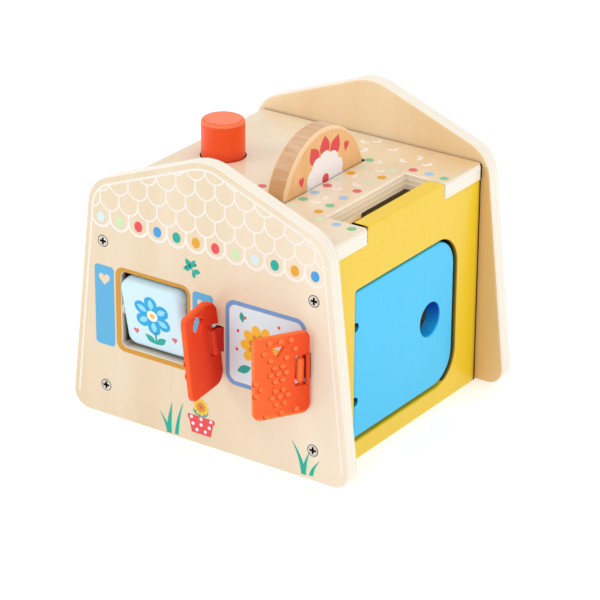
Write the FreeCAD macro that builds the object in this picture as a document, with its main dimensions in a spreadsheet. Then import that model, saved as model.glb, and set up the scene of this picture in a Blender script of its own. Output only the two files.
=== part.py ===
import FreeCAD, Part
import math
import os
import re

import Sketcher

# Wooden hide and seek house, in millimetres.
# X runs along the front to the right, Y to the back and Z up.
# The origin is the middle of the underside of the base board.

SIZES = {
    # Boards and the box
    "board": 12,
    "house_width": 240,
    "house_depth": 214,
    "room_width": 166,
    "roof_underside": 159,
    "roof_overhang": 1,
    "roof_edge_round": 3,
    "roof_end_round": 1.2,
    "base_thickness": 12,
    "soft_edge": 1,
    # Gable outline, given by its sharp corners
    "eaves_width": 200.6,
    "eaves_height": 177.5,
    "apex_height": 215.5,
    "foot_round": 13,
    "eaves_round": 26,
    "apex_round": 36,
    "gable_edge_round": 2,
    # Countersunk screws
    "screw_low": 23.5,
    "screw_high": 134.7,
    "screw_shank": 4,
    "screw_head": 9,
    "screw_length": 35,
    "screw_sink": 0.3,
    "screw_clearance": 0.1,
    "cross_width": 1.1,
    "cross_span": 5,
    "cross_depth": 1.8,
    # Dowels
    "dowel": 6,
    "dowel_length": 20,
    "dowel_in_wall": 12,
    "dowel_clearance": 0.1,
    "roof_dowel_reach": 75,
    "base_dowel_reach": 70,
    # Front window
    "window_x": -45,
    "window_z": 87,
    "window_width": 57.3,
    "window_height": 57.2,
    "window_round": 4,
    # Picture tile
    "tile_width": 54,
    "tile_height": 53.8,
    "tile_thickness": 14.6,
    "tile_corner": 8,
    "tile_edge_round": 5,
    "tile_tilt": 11.4,
    "tile_axle": 4,
    "tile_axle_seat": 7,
    "tile_fit": 0.1,
    "spacer": 11,
    "spacer_play": 0.25,
    "keeper_width": 8,
    "keeper_height": 20,
    "keeper_depth": 8,
    "keeper_inset": 0.7,
    # Soft shutters
    "shutter_width": 41.2,
    "shutter_height": 62,
    "shutter_thickness": 4,
    "shutter_corner": 6,
    "shutter_edge_round": 1.2,
    "shutter_z": 84.7,
    "hinge_inset": 6.4,
    "hinge_stand_off": 7.1,
    "hinge_bar": 3,
    "hinge_bar_reach": 4.8,
    "hinge_bar_free": 23,
    "left_hinge_x": 11.4,
    "right_hinge_x": 83.5,
    "left_shutter_angle": 98,
    "right_shutter_angle": 57,
    "loop_height": 18,
    "loop_wall": 1.5,
    "loop_fit": 0.06,
    "loop_clearance": 0.5,
    "loop_pin": 3,
    "loop_pin_length": 26,
    "loop_pin_depth": 3.4,
    "heart_side": 8,
    "heart_reach": 16,
    "heart_drop": 12.5,
    "triangle_base": 12.5,
    "triangle_rise": 10,
    "triangle_reach": 17.5,
    "triangle_drop": 8,
    # Door opening and door
    "door_sill": 13.35,
    "doorway_height": 115.2,
    "doorway_width": 131,
    "doorway_shift": 0.2,
    "doorway_round": 25,
    "doorway_hinge_round": 2.5,
    "door_gap": 2.3,
    "door_hinge_gap": 2,
    "door_free_gap": 2.45,
    "door_recess": 1.4,
    "door_edge_round": 1.2,
    "finger_hole": 25.4,
    "finger_hole_inset": 29.85,
    "finger_hole_z": 70.5,
    # Door hinge
    "rod": 2.6,
    "rod_length": 90,
    "rod_fit": 0.06,
    "rod_clearance": 0.1,
    "rod_from_face": 4,
    "rod_from_edge": 3,
    "eye_wall": 1.5,
    "eye_thickness": 2.2,
    "eye_shank": 2,
    "eye_shank_length": 15,
    "eye_clearance": 0.3,
    "eye_spread": 56.5,
    "eye_middle": 71.7,
    "notch_width": 7,
    "notch_inset": 1.2,
    # Door stop
    "stop_width": 26,
    "stop_height": 30,
    "stop_depth": 12,
    "stop_lap": 10,
    "stop_clearance": 0.3,
    # Posting slot
    "tab_length": 98,
    "tab_shift": -3,
    "tab_clearance": 0.3,
    "tab_round": 3,
    "slot_width": 21,
    "notch_edge_round": 2,
    # Chimney
    "chimney_x": -62.8,
    "chimney": 31.8,
    "chimney_top": 199.2,
    "chimney_length": 50,
    "chimney_clearance": 0.95,
    "chimney_round": 2,
    "collar": 38.4,
    "collar_height": 5,
    "collar_gap": 0.4,
    "collar_fit": 0.05,
    "spring_pocket": 18,
    "spring_pocket_depth": 8,
    "spring": 14,
    "spring_wire": 1.4,
    "spring_turns": 8,
    "spring_gap": 0.1,
    "shelf_top": 118,
    "shelf_thickness": 12,
    "shelf_reach": 43,
    "shelf_width": 45,
    "shelf_screw_spread": 24,
    # Spinning disc
    "disc": 100,
    "disc_thickness": 17,
    "disc_round": 2.9,
    "disc_x": 16.5,
    "disc_z": 160.3,
    "disc_side_gap": 1,
    "disc_end_gap": 1,
    "disc_axle": 8,
    "disc_axle_fit": 0.1,
    "disc_axle_reach": 31,
    "washer": 16,
    "washer_thickness": 0.6,
    "block_gap": 1,
    "block_width": 21,
    "block_length": 24,
    "block_height": 14,
}

# Places that several pieces share, as formulas of the sizes above
FACE = "(house_depth / 2)"
END = "(house_depth / 2 - board)"
INNER_X = "(room_width / 2)"
OUTER_X = "(room_width / 2 + board)"
WALL_MID = "(room_width / 2 + board / 2)"
SCREW_HOLE = "(screw_shank / 2 + screw_clearance)"
HEAD_HEIGHT = "((screw_head - screw_shank) / 2)"
DOWEL_HOLE = "(dowel / 2 + dowel_clearance)"
ROOF_DOWEL_LOW = "(roof_underside - dowel_in_wall)"
BASE_DOWEL_Z = "(base_thickness / 2)"
BASE_DOWEL_SEAT = "(dowel_length - dowel_in_wall)"
AXLE_DEPTH = "(board / 2)"
HINGE_Y = "(-house_depth / 2 - hinge_stand_off)"
LOOP_PIN_Y = "(-house_depth / 2 + board - loop_pin_depth)"
LOOP_OUTER = "(hinge_bar / 2 + loop_fit + loop_wall)"
DOORWAY_HINGE_Y = "(doorway_shift - doorway_width / 2)"
DOORWAY_FREE_Y = "(doorway_shift + doorway_width / 2)"
DOOR_HINGE_Y = "(doorway_shift - doorway_width / 2 + door_hinge_gap)"
DOOR_FREE_Y = "(doorway_shift + doorway_width / 2 - door_free_gap)"
DOOR_BOTTOM = "(door_sill + door_gap)"
DOOR_TOP = "(door_sill + doorway_height - door_gap)"
ROD_X = "(room_width / 2 + board - door_recess - rod_from_face)"
ROD_Y = "(doorway_shift - doorway_width / 2 + door_hinge_gap + rod_from_edge)"
EYE_OUTER = "(rod / 2 + rod_fit + eye_wall)"
CHIMNEY_LOW = "(chimney_top - chimney_length)"
SHELF_LOW = "(shelf_top - shelf_thickness)"
SHELF_SCREW_Z = "(shelf_top - shelf_thickness / 2)"

doc = FreeCAD.newDocument("HideAndSeekHouse")
sheet = doc.addObject("Spreadsheet::Sheet", "Sizes")
for row, (alias, size) in enumerate(SIZES.items(), start=1):
    sheet.set(f"A{row}", alias)
    sheet.set(f"B{row}", str(size))
    sheet.setAlias(f"B{row}", alias)
doc.recompute()

pieces = []
NEAR = 1e-4


def formula(text):
    """The expression with every size name pointed at the sheet."""
    return re.sub(r"[a-z][a-z_]+", lambda word: "Sizes." + word[0] if word[0] in SIZES else word[0], text)


def number(text):
    """What the expression comes to."""
    return float(sheet.evalExpression(formula(text)))


def bind(thing, **formulas):
    """Ties properties of an object to expressions."""
    for name, text in formulas.items():
        thing.setExpression(name, formula(text))


def place(thing, x="0", y="0", z="0", axis=None, angle="0"):
    """Ties an object's Placement to expressions."""
    if axis is not None:
        thing.Placement = FreeCAD.Placement(FreeCAD.Vector(), FreeCAD.Rotation(FreeCAD.Vector(*axis), 1))
        thing.setExpression("Placement.Rotation.Angle", formula(angle))
    for letter, text in (("x", x), ("y", y), ("z", z)):
        thing.setExpression(f"Placement.Base.{letter}", formula(text))


def piece(thing, label):
    """Names a finished sub-part."""
    thing.Label = label
    pieces.append(thing)
    return thing


def new_body(label, **where):
    body = doc.addObject("PartDesign::Body", label)
    place(body, **where)
    return piece(body, label)


def new_sketch(body, plane, offset="0"):
    """A sketch on one of the body's own origin planes, raised along that plane's normal."""
    sketch = body.newObject("Sketcher::SketchObject", body.Label + "_outline")
    support = next(found for found in body.Origin.OriginFeatures if found.Role == plane)
    sketch.AttachmentSupport = (support, "")
    sketch.MapMode = "FlatFace"
    sketch.setExpression("AttachmentOffset.Base.z", formula(offset))
    return sketch


def dimension(sketch, kind, geometry, point, text):
    """A driving distance from the sketch's origin to a point."""
    index = sketch.addConstraint(Sketcher.Constraint(kind, -1, 1, geometry, point, number(text)))
    sketch.setExpression(f"Constraints[{index}]", formula(text))


def polygon(sketch, corners):
    """A closed outline through corners given as pairs of expressions."""
    points = [FreeCAD.Vector(number(x), number(y), 0) for x, y in corners]
    first = sketch.GeometryCount
    count = len(corners)
    for start, end in zip(points, points[1:] + points[:1]):
        sketch.addGeometry(Part.LineSegment(start, end), False)
    for step in range(count):
        after = first + (step + 1) % count
        sketch.addConstraint(Sketcher.Constraint("Coincident", first + step, 2, after, 1))
    for step, (x, y) in enumerate(corners):
        dimension(sketch, "DistanceX", first + step, 1, x)
        dimension(sketch, "DistanceY", first + step, 1, y)


def rectangle(sketch, low_x, high_x, low_y, high_y):
    polygon(sketch, [(low_x, low_y), (high_x, low_y), (high_x, high_y), (low_x, high_y)])


def circle(sketch, x, y, radius):
    centre = FreeCAD.Vector(number(x), number(y), 0)
    index = sketch.addGeometry(Part.Circle(centre, FreeCAD.Vector(0, 0, 1), number(radius)), False)
    dimension(sketch, "DistanceX", index, 3, x)
    dimension(sketch, "DistanceY", index, 3, y)
    constraint = sketch.addConstraint(Sketcher.Constraint("Radius", index, number(radius)))
    sketch.setExpression(f"Constraints[{constraint}]", formula(radius))


def pad(body, sketch, length, backward=False):
    """Extrudes along the sketch's normal, or against it."""
    feature = body.newObject("PartDesign::Pad", body.Label + "_pad")
    feature.Profile = sketch
    feature.Reversed = backward
    feature.setExpression("Length", formula(length))
    doc.recompute()
    return feature


def pocket(body, sketch, length, forward=False):
    """Cuts against the sketch's normal, or along it, and makes sure that it removed something."""
    before = body.Shape.Volume
    feature = body.newObject("PartDesign::Pocket", body.Label + "_pocket")
    feature.Profile = sketch
    feature.Reversed = forward
    feature.setExpression("Length", formula(length))
    doc.recompute()
    if body.Shape.Volume > before - NEAR:
        raise RuntimeError(f"{feature.Label} of {body.Label} cuts nothing")
    return feature


def edges_where(shape, test):
    return [f"Edge{index}" for index, edge in enumerate(shape.Edges, start=1) if test(edge)]


def soften(body, kind, size, test):
    """Rounds ("Fillet") or bevels ("Chamfer") the edges that pass the test."""
    base = body.Tip
    names = edges_where(base.Shape, test)
    if not names:
        raise RuntimeError(f"no edge of {body.Label} to soften")
    feature = body.newObject("PartDesign::" + kind, body.Label + "_" + kind.lower())
    feature.Base = (base, names)
    feature.setExpression("Radius" if kind == "Fillet" else "Size", formula(size))
    doc.recompute()
    return feature


def along(edge, axis):
    """Whether a straight edge runs along the X, Y or Z axis."""
    if not isinstance(edge.Curve, Part.Line):
        return False
    direction = edge.Curve.Direction
    return abs(abs(getattr(direction, axis)) - 1) < NEAR


def lies_at(edge, **places):
    """Whether the whole edge lies at the given values of x, y or z."""
    box = edge.BoundBox
    for axis, text in places.items():
        low = getattr(box, axis.upper() + "Min")
        high = getattr(box, axis.upper() + "Max")
        wanted = number(text)
        if abs(low - wanted) > NEAR or abs(high - wanted) > NEAR:
            return False
    return True


def is_circle(edge, radius):
    return isinstance(edge.Curve, Part.Circle) and abs(edge.Curve.Radius - number(radius)) < NEAR


def box(name, x, y, z, length, width, height):
    solid = doc.addObject("Part::Box", name)
    bind(solid, Length=length, Width=width, Height=height)
    place(solid, x, y, z)
    return solid


TURNS = {"x": ((0, 1, 0), "90"), "y": ((1, 0, 0), "-90"), "z": (None, "0")}


def cylinder(name, x, y, z, radius, height, axis="z"):
    """A cylinder that starts at a point and runs along +X, +Y or +Z."""
    solid = doc.addObject("Part::Cylinder", name)
    bind(solid, Radius=radius, Height=height)
    turn, angle = TURNS[axis]
    place(solid, x, y, z, turn, angle)
    return solid


def cut(name, base, tool):
    result = doc.addObject("Part::Cut", name)
    result.Base = base
    result.Tool = tool
    return result


def fuse(name, shapes):
    result = doc.addObject("Part::MultiFuse", name)
    result.Shapes = shapes
    result.Refine = True
    return result


def group(name, members):
    result = doc.addObject("Part::Compound", name)
    result.Links = members
    return piece(result, name)


# Screws


def screw(name, x, y, z, axis, angle):
    """A countersunk cross-head screw. Its own Z runs from the head's flat face into the wood."""
    head = doc.addObject("Part::Cone", name + "_head")
    bind(head, Radius1="screw_head / 2", Radius2="screw_shank / 2", Height=HEAD_HEIGHT)
    shank = cylinder(name + "_shank", "0", "0", HEAD_HEIGHT, "screw_shank / 2",
                     "screw_length - " + HEAD_HEIGHT)
    steel = fuse(name + "_steel", [head, shank])
    arms = []
    for letter, width, length in (("a", "cross_width", "cross_span"), ("b", "cross_span", "cross_width")):
        arms.append(box(name + "_arm_" + letter, f"-{width} / 2", f"-{length} / 2", "0",
                        width, length, "cross_depth"))
    cross = fuse(name + "_cross", arms)
    whole = cut(name, steel, cross)
    place(whole, x, y, z, axis, angle)
    return whole


SCREW_PLACES = [(side + WALL_MID, height) for side in ("", "-") for height in ("screw_low", "screw_high")]


def gable_screws(label, front):
    members = []
    for index, (x, z) in enumerate(SCREW_PLACES, start=1):
        y = f"-{FACE} + screw_sink" if front else f"{FACE} - screw_sink"
        members.append(screw(f"{label}_{index}", x, y, z, (1, 0, 0), "-90" if front else "90"))
    group(label, members)


# Gables


def gable(label, front):
    """The five-cornered end board, drawn on its outer face and made inwards."""
    body = new_body(label, y="-" + FACE if front else FACE)
    outline = new_sketch(body, "XZ_Plane")
    corners = [("-house_width / 2", "0"), ("house_width / 2", "0"), ("eaves_width / 2", "eaves_height"),
               ("0", "apex_height"), ("-eaves_width / 2", "eaves_height")]
    polygon(outline, corners)
    pad(body, outline, "board", backward=front)
    for size, level in (("foot_round", "0"), ("eaves_round", "eaves_height"), ("apex_round", "apex_height")):
        soften(body, "Fillet", size, lambda edge: along(edge, "y") and lies_at(edge, z=level))
    soften(body, "Fillet", "gable_edge_round", lambda edge: not along(edge, "y") and
           (lies_at(edge, y="0") or lies_at(edge, y="board" if front else "-board")))
    holes = new_sketch(body, "XZ_Plane")
    for x, z in SCREW_PLACES:
        circle(holes, x, z, SCREW_HOLE)
    pocket(body, holes, "board", forward=not front)
    soften(body, "Chamfer", f"screw_head / 2 + screw_sink + screw_clearance - {SCREW_HOLE}",
           lambda edge: is_circle(edge, SCREW_HOLE) and lies_at(edge, y="0"))
    return body


def front_window(body):
    """The square opening and, behind, the seats of the tile's axle."""
    window = new_sketch(body, "XZ_Plane")
    left = "window_x - window_width / 2"
    right = "window_x + window_width / 2"
    rectangle(window, left, right, "window_z - window_height / 2", "window_z + window_height / 2")
    pocket(body, window, "board")

    def at_corner(edge):
        sides = lies_at(edge, x=left) or lies_at(edge, x=right)
        return along(edge, "y") and sides and abs(edge.BoundBox.Center.z - number("window_z")) < number(
            "window_height")

    soften(body, "Fillet", "window_round", at_corner)
    rim = number("window_height") / 2
    soften(body, "Fillet", "soft_edge", lambda edge: lies_at(edge, y="0") and
           edge.BoundBox.XMin > number(left) - NEAR and edge.BoundBox.XMax < number(right) + NEAR and
           abs(edge.BoundBox.Center.z - number("window_z")) <= rim + NEAR)
    seats = new_sketch(body, "XZ_Plane", "-board")
    half = "(tile_axle / 2 + tile_fit / 2)"
    rectangle(seats, left + " - tile_axle_seat", right + " + tile_axle_seat",
              "window_z - " + half, "window_z + " + half)
    pocket(body, seats, AXLE_DEPTH + " + " + half, forward=True)


def shutter_slots(body):
    """A slot through the board for each hinge loop, and a groove behind for its pin."""
    slots = new_sketch(body, "XZ_Plane")
    grooves = new_sketch(body, "XZ_Plane", "-board")
    half_slot = "(" + LOOP_OUTER + " + loop_clearance)"
    half_tall = "(loop_height / 2 + loop_clearance)"
    half_pin = "(loop_pin / 2 + loop_clearance / 2)"
    half_pin_tall = "(loop_pin_length / 2 + loop_clearance)"
    for x in ("left_hinge_x", "right_hinge_x"):
        rectangle(slots, f"{x} - {half_slot}", f"{x} + {half_slot}",
                  f"window_z - {half_tall}", f"window_z + {half_tall}")
        rectangle(grooves, f"{x} - {half_pin}", f"{x} + {half_pin}",
                  f"window_z - {half_pin_tall}", f"window_z + {half_pin_tall}")
    pocket(body, slots, "board")
    pocket(body, grooves, "loop_pin_depth + " + half_pin, forward=True)


front_gable = gable("front_gable", True)
front_window(front_gable)
shutter_slots(front_gable)
gable("rear_gable", False)
gable_screws("front_screws", True)
gable_screws("rear_screws", False)

# Side walls


def wall_fixings(body, inner, mid):
    """Holes for the gable screws in both ends and for the dowels above and below."""
    for end, forward in ((END, False), ("-" + END, True)):
        sketch = new_sketch(body, "XZ_Plane", end)
        for level in ("screw_low", "screw_high"):
            circle(sketch, mid, level, SCREW_HOLE)
        pocket(body, sketch, "screw_length + screw_sink + screw_clearance - board", forward=forward)
    top = new_sketch(body, "XY_Plane", "roof_underside")
    for side in ("", "-"):
        circle(top, mid, side + "roof_dowel_reach", DOWEL_HOLE)
    pocket(body, top, "dowel_in_wall + dowel_clearance")
    foot = new_sketch(body, "YZ_Plane", inner)
    for side in ("", "-"):
        circle(foot, side + "base_dowel_reach", BASE_DOWEL_Z, DOWEL_HOLE)
    pocket(body, foot, BASE_DOWEL_SEAT + " + dowel_clearance", forward=inner == "0")


def right_wall():
    """The yellow wall with the doorway; its tab rises into the notch of the roof."""
    body = new_body("right_wall", x=INNER_X)
    outline = new_sketch(body, "YZ_Plane")
    tab_front = "(tab_shift - tab_length / 2)"
    tab_rear = "(tab_shift + tab_length / 2)"
    roof_top = "(roof_underside + board)"
    polygon(outline, [("-" + END, "0"), (END, "0"), (END, "roof_underside"), (tab_rear, "roof_underside"),
                      (tab_rear, roof_top), (tab_front, roof_top), (tab_front, "roof_underside"),
                      ("-" + END, "roof_underside")])
    pad(body, outline, "board")
    soften(body, "Fillet", "tab_round", lambda edge: along(edge, "x") and lies_at(edge, z=roof_top))
    doorway = new_sketch(body, "YZ_Plane")
    rectangle(doorway, DOORWAY_HINGE_Y, DOORWAY_FREE_Y, "door_sill", "door_sill + doorway_height")
    pocket(body, doorway, "board", forward=True)
    soften(body, "Fillet", "doorway_round", lambda edge: along(edge, "x") and lies_at(edge, y=DOORWAY_FREE_Y))
    soften(body, "Fillet", "doorway_hinge_round",
           lambda edge: along(edge, "x") and lies_at(edge, y=DOORWAY_HINGE_Y))
    low = number("door_sill")
    high = number("door_sill + doorway_height")

    def outer_rim(edge):
        middle = edge.BoundBox.Center.z
        round_doorway = low - NEAR <= middle <= high + NEAR and abs(edge.BoundBox.Center.y) < number(END) - 1
        return lies_at(edge, x="board") and (round_doorway or edge.BoundBox.ZMin > number("roof_underside") + NEAR)

    soften(body, "Fillet", "soft_edge", outer_rim)
    wall_fixings(body, "0", "board / 2")
    eyes = new_sketch(body, "XZ_Plane", "-" + DOORWAY_HINGE_Y)
    for side in ("+", "-"):
        circle(eyes, f"{ROD_X} - {INNER_X}", f"eye_middle {side} eye_spread / 2", "eye_shank / 2 + rod_fit")
    pocket(body, eyes, "eye_shank_length - door_hinge_gap - rod_from_edge + rod_clearance", forward=True)


def left_wall():
    """The plain wall, which also carries the chimney's shelf."""
    body = new_body("left_wall", x="-" + OUTER_X)
    outline = new_sketch(body, "YZ_Plane")
    rectangle(outline, "-" + END, END, "0", "roof_underside")
    pad(body, outline, "board")
    wall_fixings(body, "board", "board / 2")
    holes = new_sketch(body, "YZ_Plane", "board")
    for side in ("", "-"):
        circle(holes, side + "shelf_screw_spread / 2", SHELF_SCREW_Z, SCREW_HOLE)
    pocket(body, holes, "board")
    soften(body, "Chamfer", f"screw_head / 2 + screw_sink + screw_clearance - {SCREW_HOLE}",
           lambda edge: is_circle(edge, SCREW_HOLE) and lies_at(edge, x="0"))


right_wall()
left_wall()

# Roof board


def roof_board():
    """The board between the gables, with a notch at the right for the wall's tab and the posting slot."""
    body = new_body("roof_board", z="roof_underside")
    edge_x = OUTER_X + " + roof_overhang"
    notch_x = INNER_X + " - slot_width"
    notch_front = "(tab_shift - tab_length / 2 - tab_clearance)"
    notch_rear = "(tab_shift + tab_length / 2 + tab_clearance)"
    outline = new_sketch(body, "XY_Plane")
    rectangle(outline, "-(" + edge_x + ")", edge_x, "-" + END, END)
    pad(body, outline, "board")
    soften(body, "Fillet", "roof_edge_round", lambda edge: along(edge, "y") and lies_at(edge, z="board"))
    soften(body, "Fillet", "roof_end_round", lambda edge: lies_at(edge, y=END) or lies_at(edge, y="-" + END))
    notch = new_sketch(body, "XY_Plane")
    rectangle(notch, notch_x, edge_x + " + roof_overhang", notch_front, notch_rear)
    pocket(body, notch, "board", forward=True)

    def notch_rim(edge):
        extent = edge.BoundBox
        across = lies_at(edge, y=notch_front) or lies_at(edge, y=notch_rear)
        inner = lies_at(edge, x=notch_x, z="board")
        return inner or across and extent.ZMax > NEAR and extent.XMax > number(notch_x) + NEAR

    soften(body, "Fillet", "notch_edge_round", notch_rim)
    openings = new_sketch(body, "XY_Plane", "board")
    half_width = "(disc_thickness / 2 + disc_side_gap)"
    half_length = "(disc / 2 + disc_end_gap)"
    rectangle(openings, "disc_x - " + half_width, "disc_x + " + half_width, "-" + half_length, half_length)
    circle(openings, "chimney_x", "0", "chimney / 2 + chimney_clearance")
    pocket(body, openings, "board")
    groove = new_sketch(body, "XY_Plane")
    half_groove = "(disc_axle / 2 + disc_axle_fit)"
    reach = "(disc_axle_reach + disc_axle_fit)"
    rectangle(groove, "disc_x - " + reach, "disc_x + " + reach, "-" + half_groove, half_groove)
    pocket(body, groove, "disc_z - roof_underside + " + half_groove, forward=True)
    dowels = new_sketch(body, "XY_Plane")
    for side_x in ("", "-"):
        for side_y in ("", "-"):
            circle(dowels, side_x + WALL_MID, side_y + "roof_dowel_reach", DOWEL_HOLE)
    pocket(body, dowels, "dowel_length - dowel_in_wall + dowel_clearance", forward=True)


def base_board():
    body = new_body("base_board")
    outline = new_sketch(body, "XY_Plane")
    rectangle(outline, "-" + INNER_X, INNER_X, "-" + END, END)
    pad(body, outline, "base_thickness")
    for edge_x, forward in (("-" + INNER_X, True), (INNER_X, False)):
        dowels = new_sketch(body, "YZ_Plane", edge_x)
        for side in ("", "-"):
            circle(dowels, side + "base_dowel_reach", BASE_DOWEL_Z, DOWEL_HOLE)
        pocket(body, dowels, "dowel_in_wall + dowel_clearance", forward=forward)


roof_board()
base_board()

# Dowels

group("roof_dowels", [
    cylinder(f"roof_dowel_{index}", x + WALL_MID, y + "roof_dowel_reach", ROOF_DOWEL_LOW,
             "dowel / 2", "dowel_length")
    for index, (x, y) in enumerate((("", ""), ("", "-"), ("-", ""), ("-", "-")), start=1)])
group("base_dowels", [
    cylinder(f"base_dowel_{index}", start, y + "base_dowel_reach", BASE_DOWEL_Z, "dowel / 2",
             "dowel_length", "x")
    for index, (start, y) in enumerate(
        ((f"{INNER_X} - dowel_in_wall", ""), (f"{INNER_X} - dowel_in_wall", "-"),
         (f"-{INNER_X} - {BASE_DOWEL_SEAT}", ""), (f"-{INNER_X} - {BASE_DOWEL_SEAT}", "-")), start=1)])

# Door


def door():
    """The blue door with its finger hole, the bore of its rod and the notches of the hinge eyes."""
    body = new_body("door", x=INNER_X + " - door_recess")
    outline = new_sketch(body, "YZ_Plane")
    rectangle(outline, DOOR_HINGE_Y, DOOR_FREE_Y, DOOR_BOTTOM, DOOR_TOP)
    pad(body, outline, "board")
    soften(body, "Fillet", "doorway_round - door_free_gap",
           lambda edge: along(edge, "x") and lies_at(edge, y=DOOR_FREE_Y))
    soften(body, "Fillet", "doorway_hinge_round",
           lambda edge: along(edge, "x") and lies_at(edge, y=DOOR_HINGE_Y))
    openings = new_sketch(body, "YZ_Plane", "board")
    circle(openings, DOOR_FREE_Y + " - finger_hole_inset", "finger_hole_z", "finger_hole / 2")
    pocket(body, openings, "board")
    soften(body, "Fillet", "door_edge_round", lambda edge: lies_at(edge, x="0") or lies_at(edge, x="board"))
    notches = new_sketch(body, "YZ_Plane", "board")
    kerfs = new_sketch(body, "XZ_Plane", "-" + DOOR_HINGE_Y)
    reach = "(" + EYE_OUTER + " + eye_clearance)"
    rod_x = "(board - rod_from_face)"
    for side in ("+", "-"):
        level = f"(eye_middle {side} eye_spread / 2)"
        half = "(eye_thickness / 2 + eye_clearance)"
        circle(notches, DOOR_HINGE_Y + " + notch_inset", level, "notch_width / 2")
        rectangle(kerfs, f"{rod_x} - {reach}", f"{rod_x} + {reach}", f"{level} - {half}", f"{level} + {half}")
    pocket(body, notches, "board")
    pocket(body, kerfs, "rod_from_edge + " + reach)
    bore = new_sketch(body, "XY_Plane", DOOR_BOTTOM)
    circle(bore, rod_x, ROD_Y, "rod / 2 + rod_clearance")
    pocket(body, bore, "rod_length + soft_edge + rod_clearance", forward=True)


def hinge_eye(label, side):
    """A steel eye round the rod, with a shank in the wall."""
    level = f"(eye_middle {side} eye_spread / 2)"
    ring = cylinder(label + "_ring", ROD_X, ROD_Y, f"{level} - eye_thickness / 2", EYE_OUTER, "eye_thickness")
    shank = cylinder(label + "_shank", ROD_X, ROD_Y + " - eye_shank_length", level, "eye_shank / 2",
                     "eye_shank_length", "y")
    hole = cylinder(label + "_hole", ROD_X, ROD_Y, f"{level} - eye_thickness", "rod / 2 + rod_fit",
                    "2 * eye_thickness")
    piece(cut(label, fuse(label + "_steel", [ring, shank]), hole), label)


def door_stop():
    """A wooden block glued behind the wall, with a lap that the shut door rests on."""
    middle = "finger_hole_z"
    body = new_body("door_stop", x=INNER_X, z=middle + " - stop_height / 2")
    lap_x = "(-door_recess - stop_clearance)"
    lap_end = "(" + DOOR_FREE_Y + " + door_free_gap + soft_edge)"
    start = "(" + DOOR_FREE_Y + " - stop_lap)"
    outline = new_sketch(body, "XY_Plane")
    polygon(outline, [("-stop_depth", start), (lap_x, start), (lap_x, lap_end), ("0", lap_end),
                      ("0", start + " + stop_width"), ("-stop_depth", start + " + stop_width")])
    pad(body, outline, "stop_height")


door()
piece(cylinder("door_hinge_rod", ROD_X, ROD_Y, DOOR_BOTTOM + " + soft_edge", "rod / 2", "rod_length"),
      "door_hinge_rod")
hinge_eye("upper_hinge_eye", "+")
hinge_eye("lower_hinge_eye", "-")
door_stop()

# Chimney button


def chimney_button():
    body = new_body("chimney_button", x="chimney_x", z=CHIMNEY_LOW)
    outline = new_sketch(body, "XY_Plane")
    circle(outline, "0", "0", "chimney / 2")
    pad(body, outline, "chimney_length")
    soften(body, "Fillet", "chimney_round", lambda edge: lies_at(edge, z="chimney_length"))
    soften(body, "Fillet", "soft_edge", lambda edge: lies_at(edge, z="0"))
    hollow = new_sketch(body, "XY_Plane")
    circle(hollow, "0", "0", "spring_pocket / 2")
    pocket(body, hollow, "spring_pocket_depth", forward=True)


def biarc(start, leaving, end, arriving):
    """Two arcs that join two points with the given directions."""
    across = end - start
    both = leaving + arriving
    spread = 2 * (1 - leaving.dot(arriving))
    along_both = across.dot(both)
    reach = (math.sqrt(along_both ** 2 + spread * across.dot(across)) - along_both) / spread
    joint = (start + leaving * reach + end - arriving * reach) * 0.5
    arcs = []
    for first, corner, last in ((start, start + leaving * reach, joint), (joint, end - arriving * reach, end)):
        middle = (first + last) * 0.5
        half_chord = (last - first).Length / 2
        lean = math.acos(half_chord / reach)
        bulge = (corner - middle).normalize() * (half_chord * math.tan(lean / 2))
        arcs.append(Part.Arc(first, middle + bulge, last).toShape())
    return arcs


def chimney_spring():
    """A coil of round wire between the shelf and the hollow of the button."""
    wire_radius = number("spring_wire / 2")
    radius = number("(spring - spring_wire) / 2")
    low = number("shelf_top + spring_wire / 2 + spring_gap")
    high = number(CHIMNEY_LOW + " + spring_pocket_depth - spring_wire / 2 - spring_gap")
    quarters = int(number("spring_turns * 4"))
    climb = (high - low) / quarters
    slope = climb / (radius * math.pi / 2)

    def point(step):
        angle = step * math.pi / 2
        return FreeCAD.Vector(radius * math.cos(angle), radius * math.sin(angle), step * climb)

    def direction(step):
        angle = step * math.pi / 2
        return FreeCAD.Vector(-math.sin(angle), math.cos(angle), slope).normalize()

    edges = []
    for step in range(quarters):
        edges += biarc(point(step), direction(step), point(step + 1), direction(step + 1))
    section = Part.Wire([Part.Circle(point(0), direction(0), wire_radius).toShape()])
    coil = doc.addObject("Part::Feature", "chimney_spring")
    coil.Shape = Part.Wire(edges).makePipeShell([section], True, False)
    coil.Placement = FreeCAD.Placement(FreeCAD.Vector(number("chimney_x"), 0, low), FreeCAD.Rotation())
    piece(coil, "chimney_spring")


def chimney_shelf():
    """The block on the left wall that the spring stands on."""
    body = new_body("chimney_shelf", x="-" + INNER_X, z=SHELF_LOW)
    outline = new_sketch(body, "XY_Plane")
    rectangle(outline, "0", "shelf_reach", "-shelf_width / 2", "shelf_width / 2")
    pad(body, outline, "shelf_thickness")
    holes = new_sketch(body, "YZ_Plane")
    for side in ("", "-"):
        circle(holes, side + "shelf_screw_spread / 2", "shelf_thickness / 2", SCREW_HOLE)
    pocket(body, holes, "screw_length + screw_sink + screw_clearance - board", forward=True)


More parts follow.
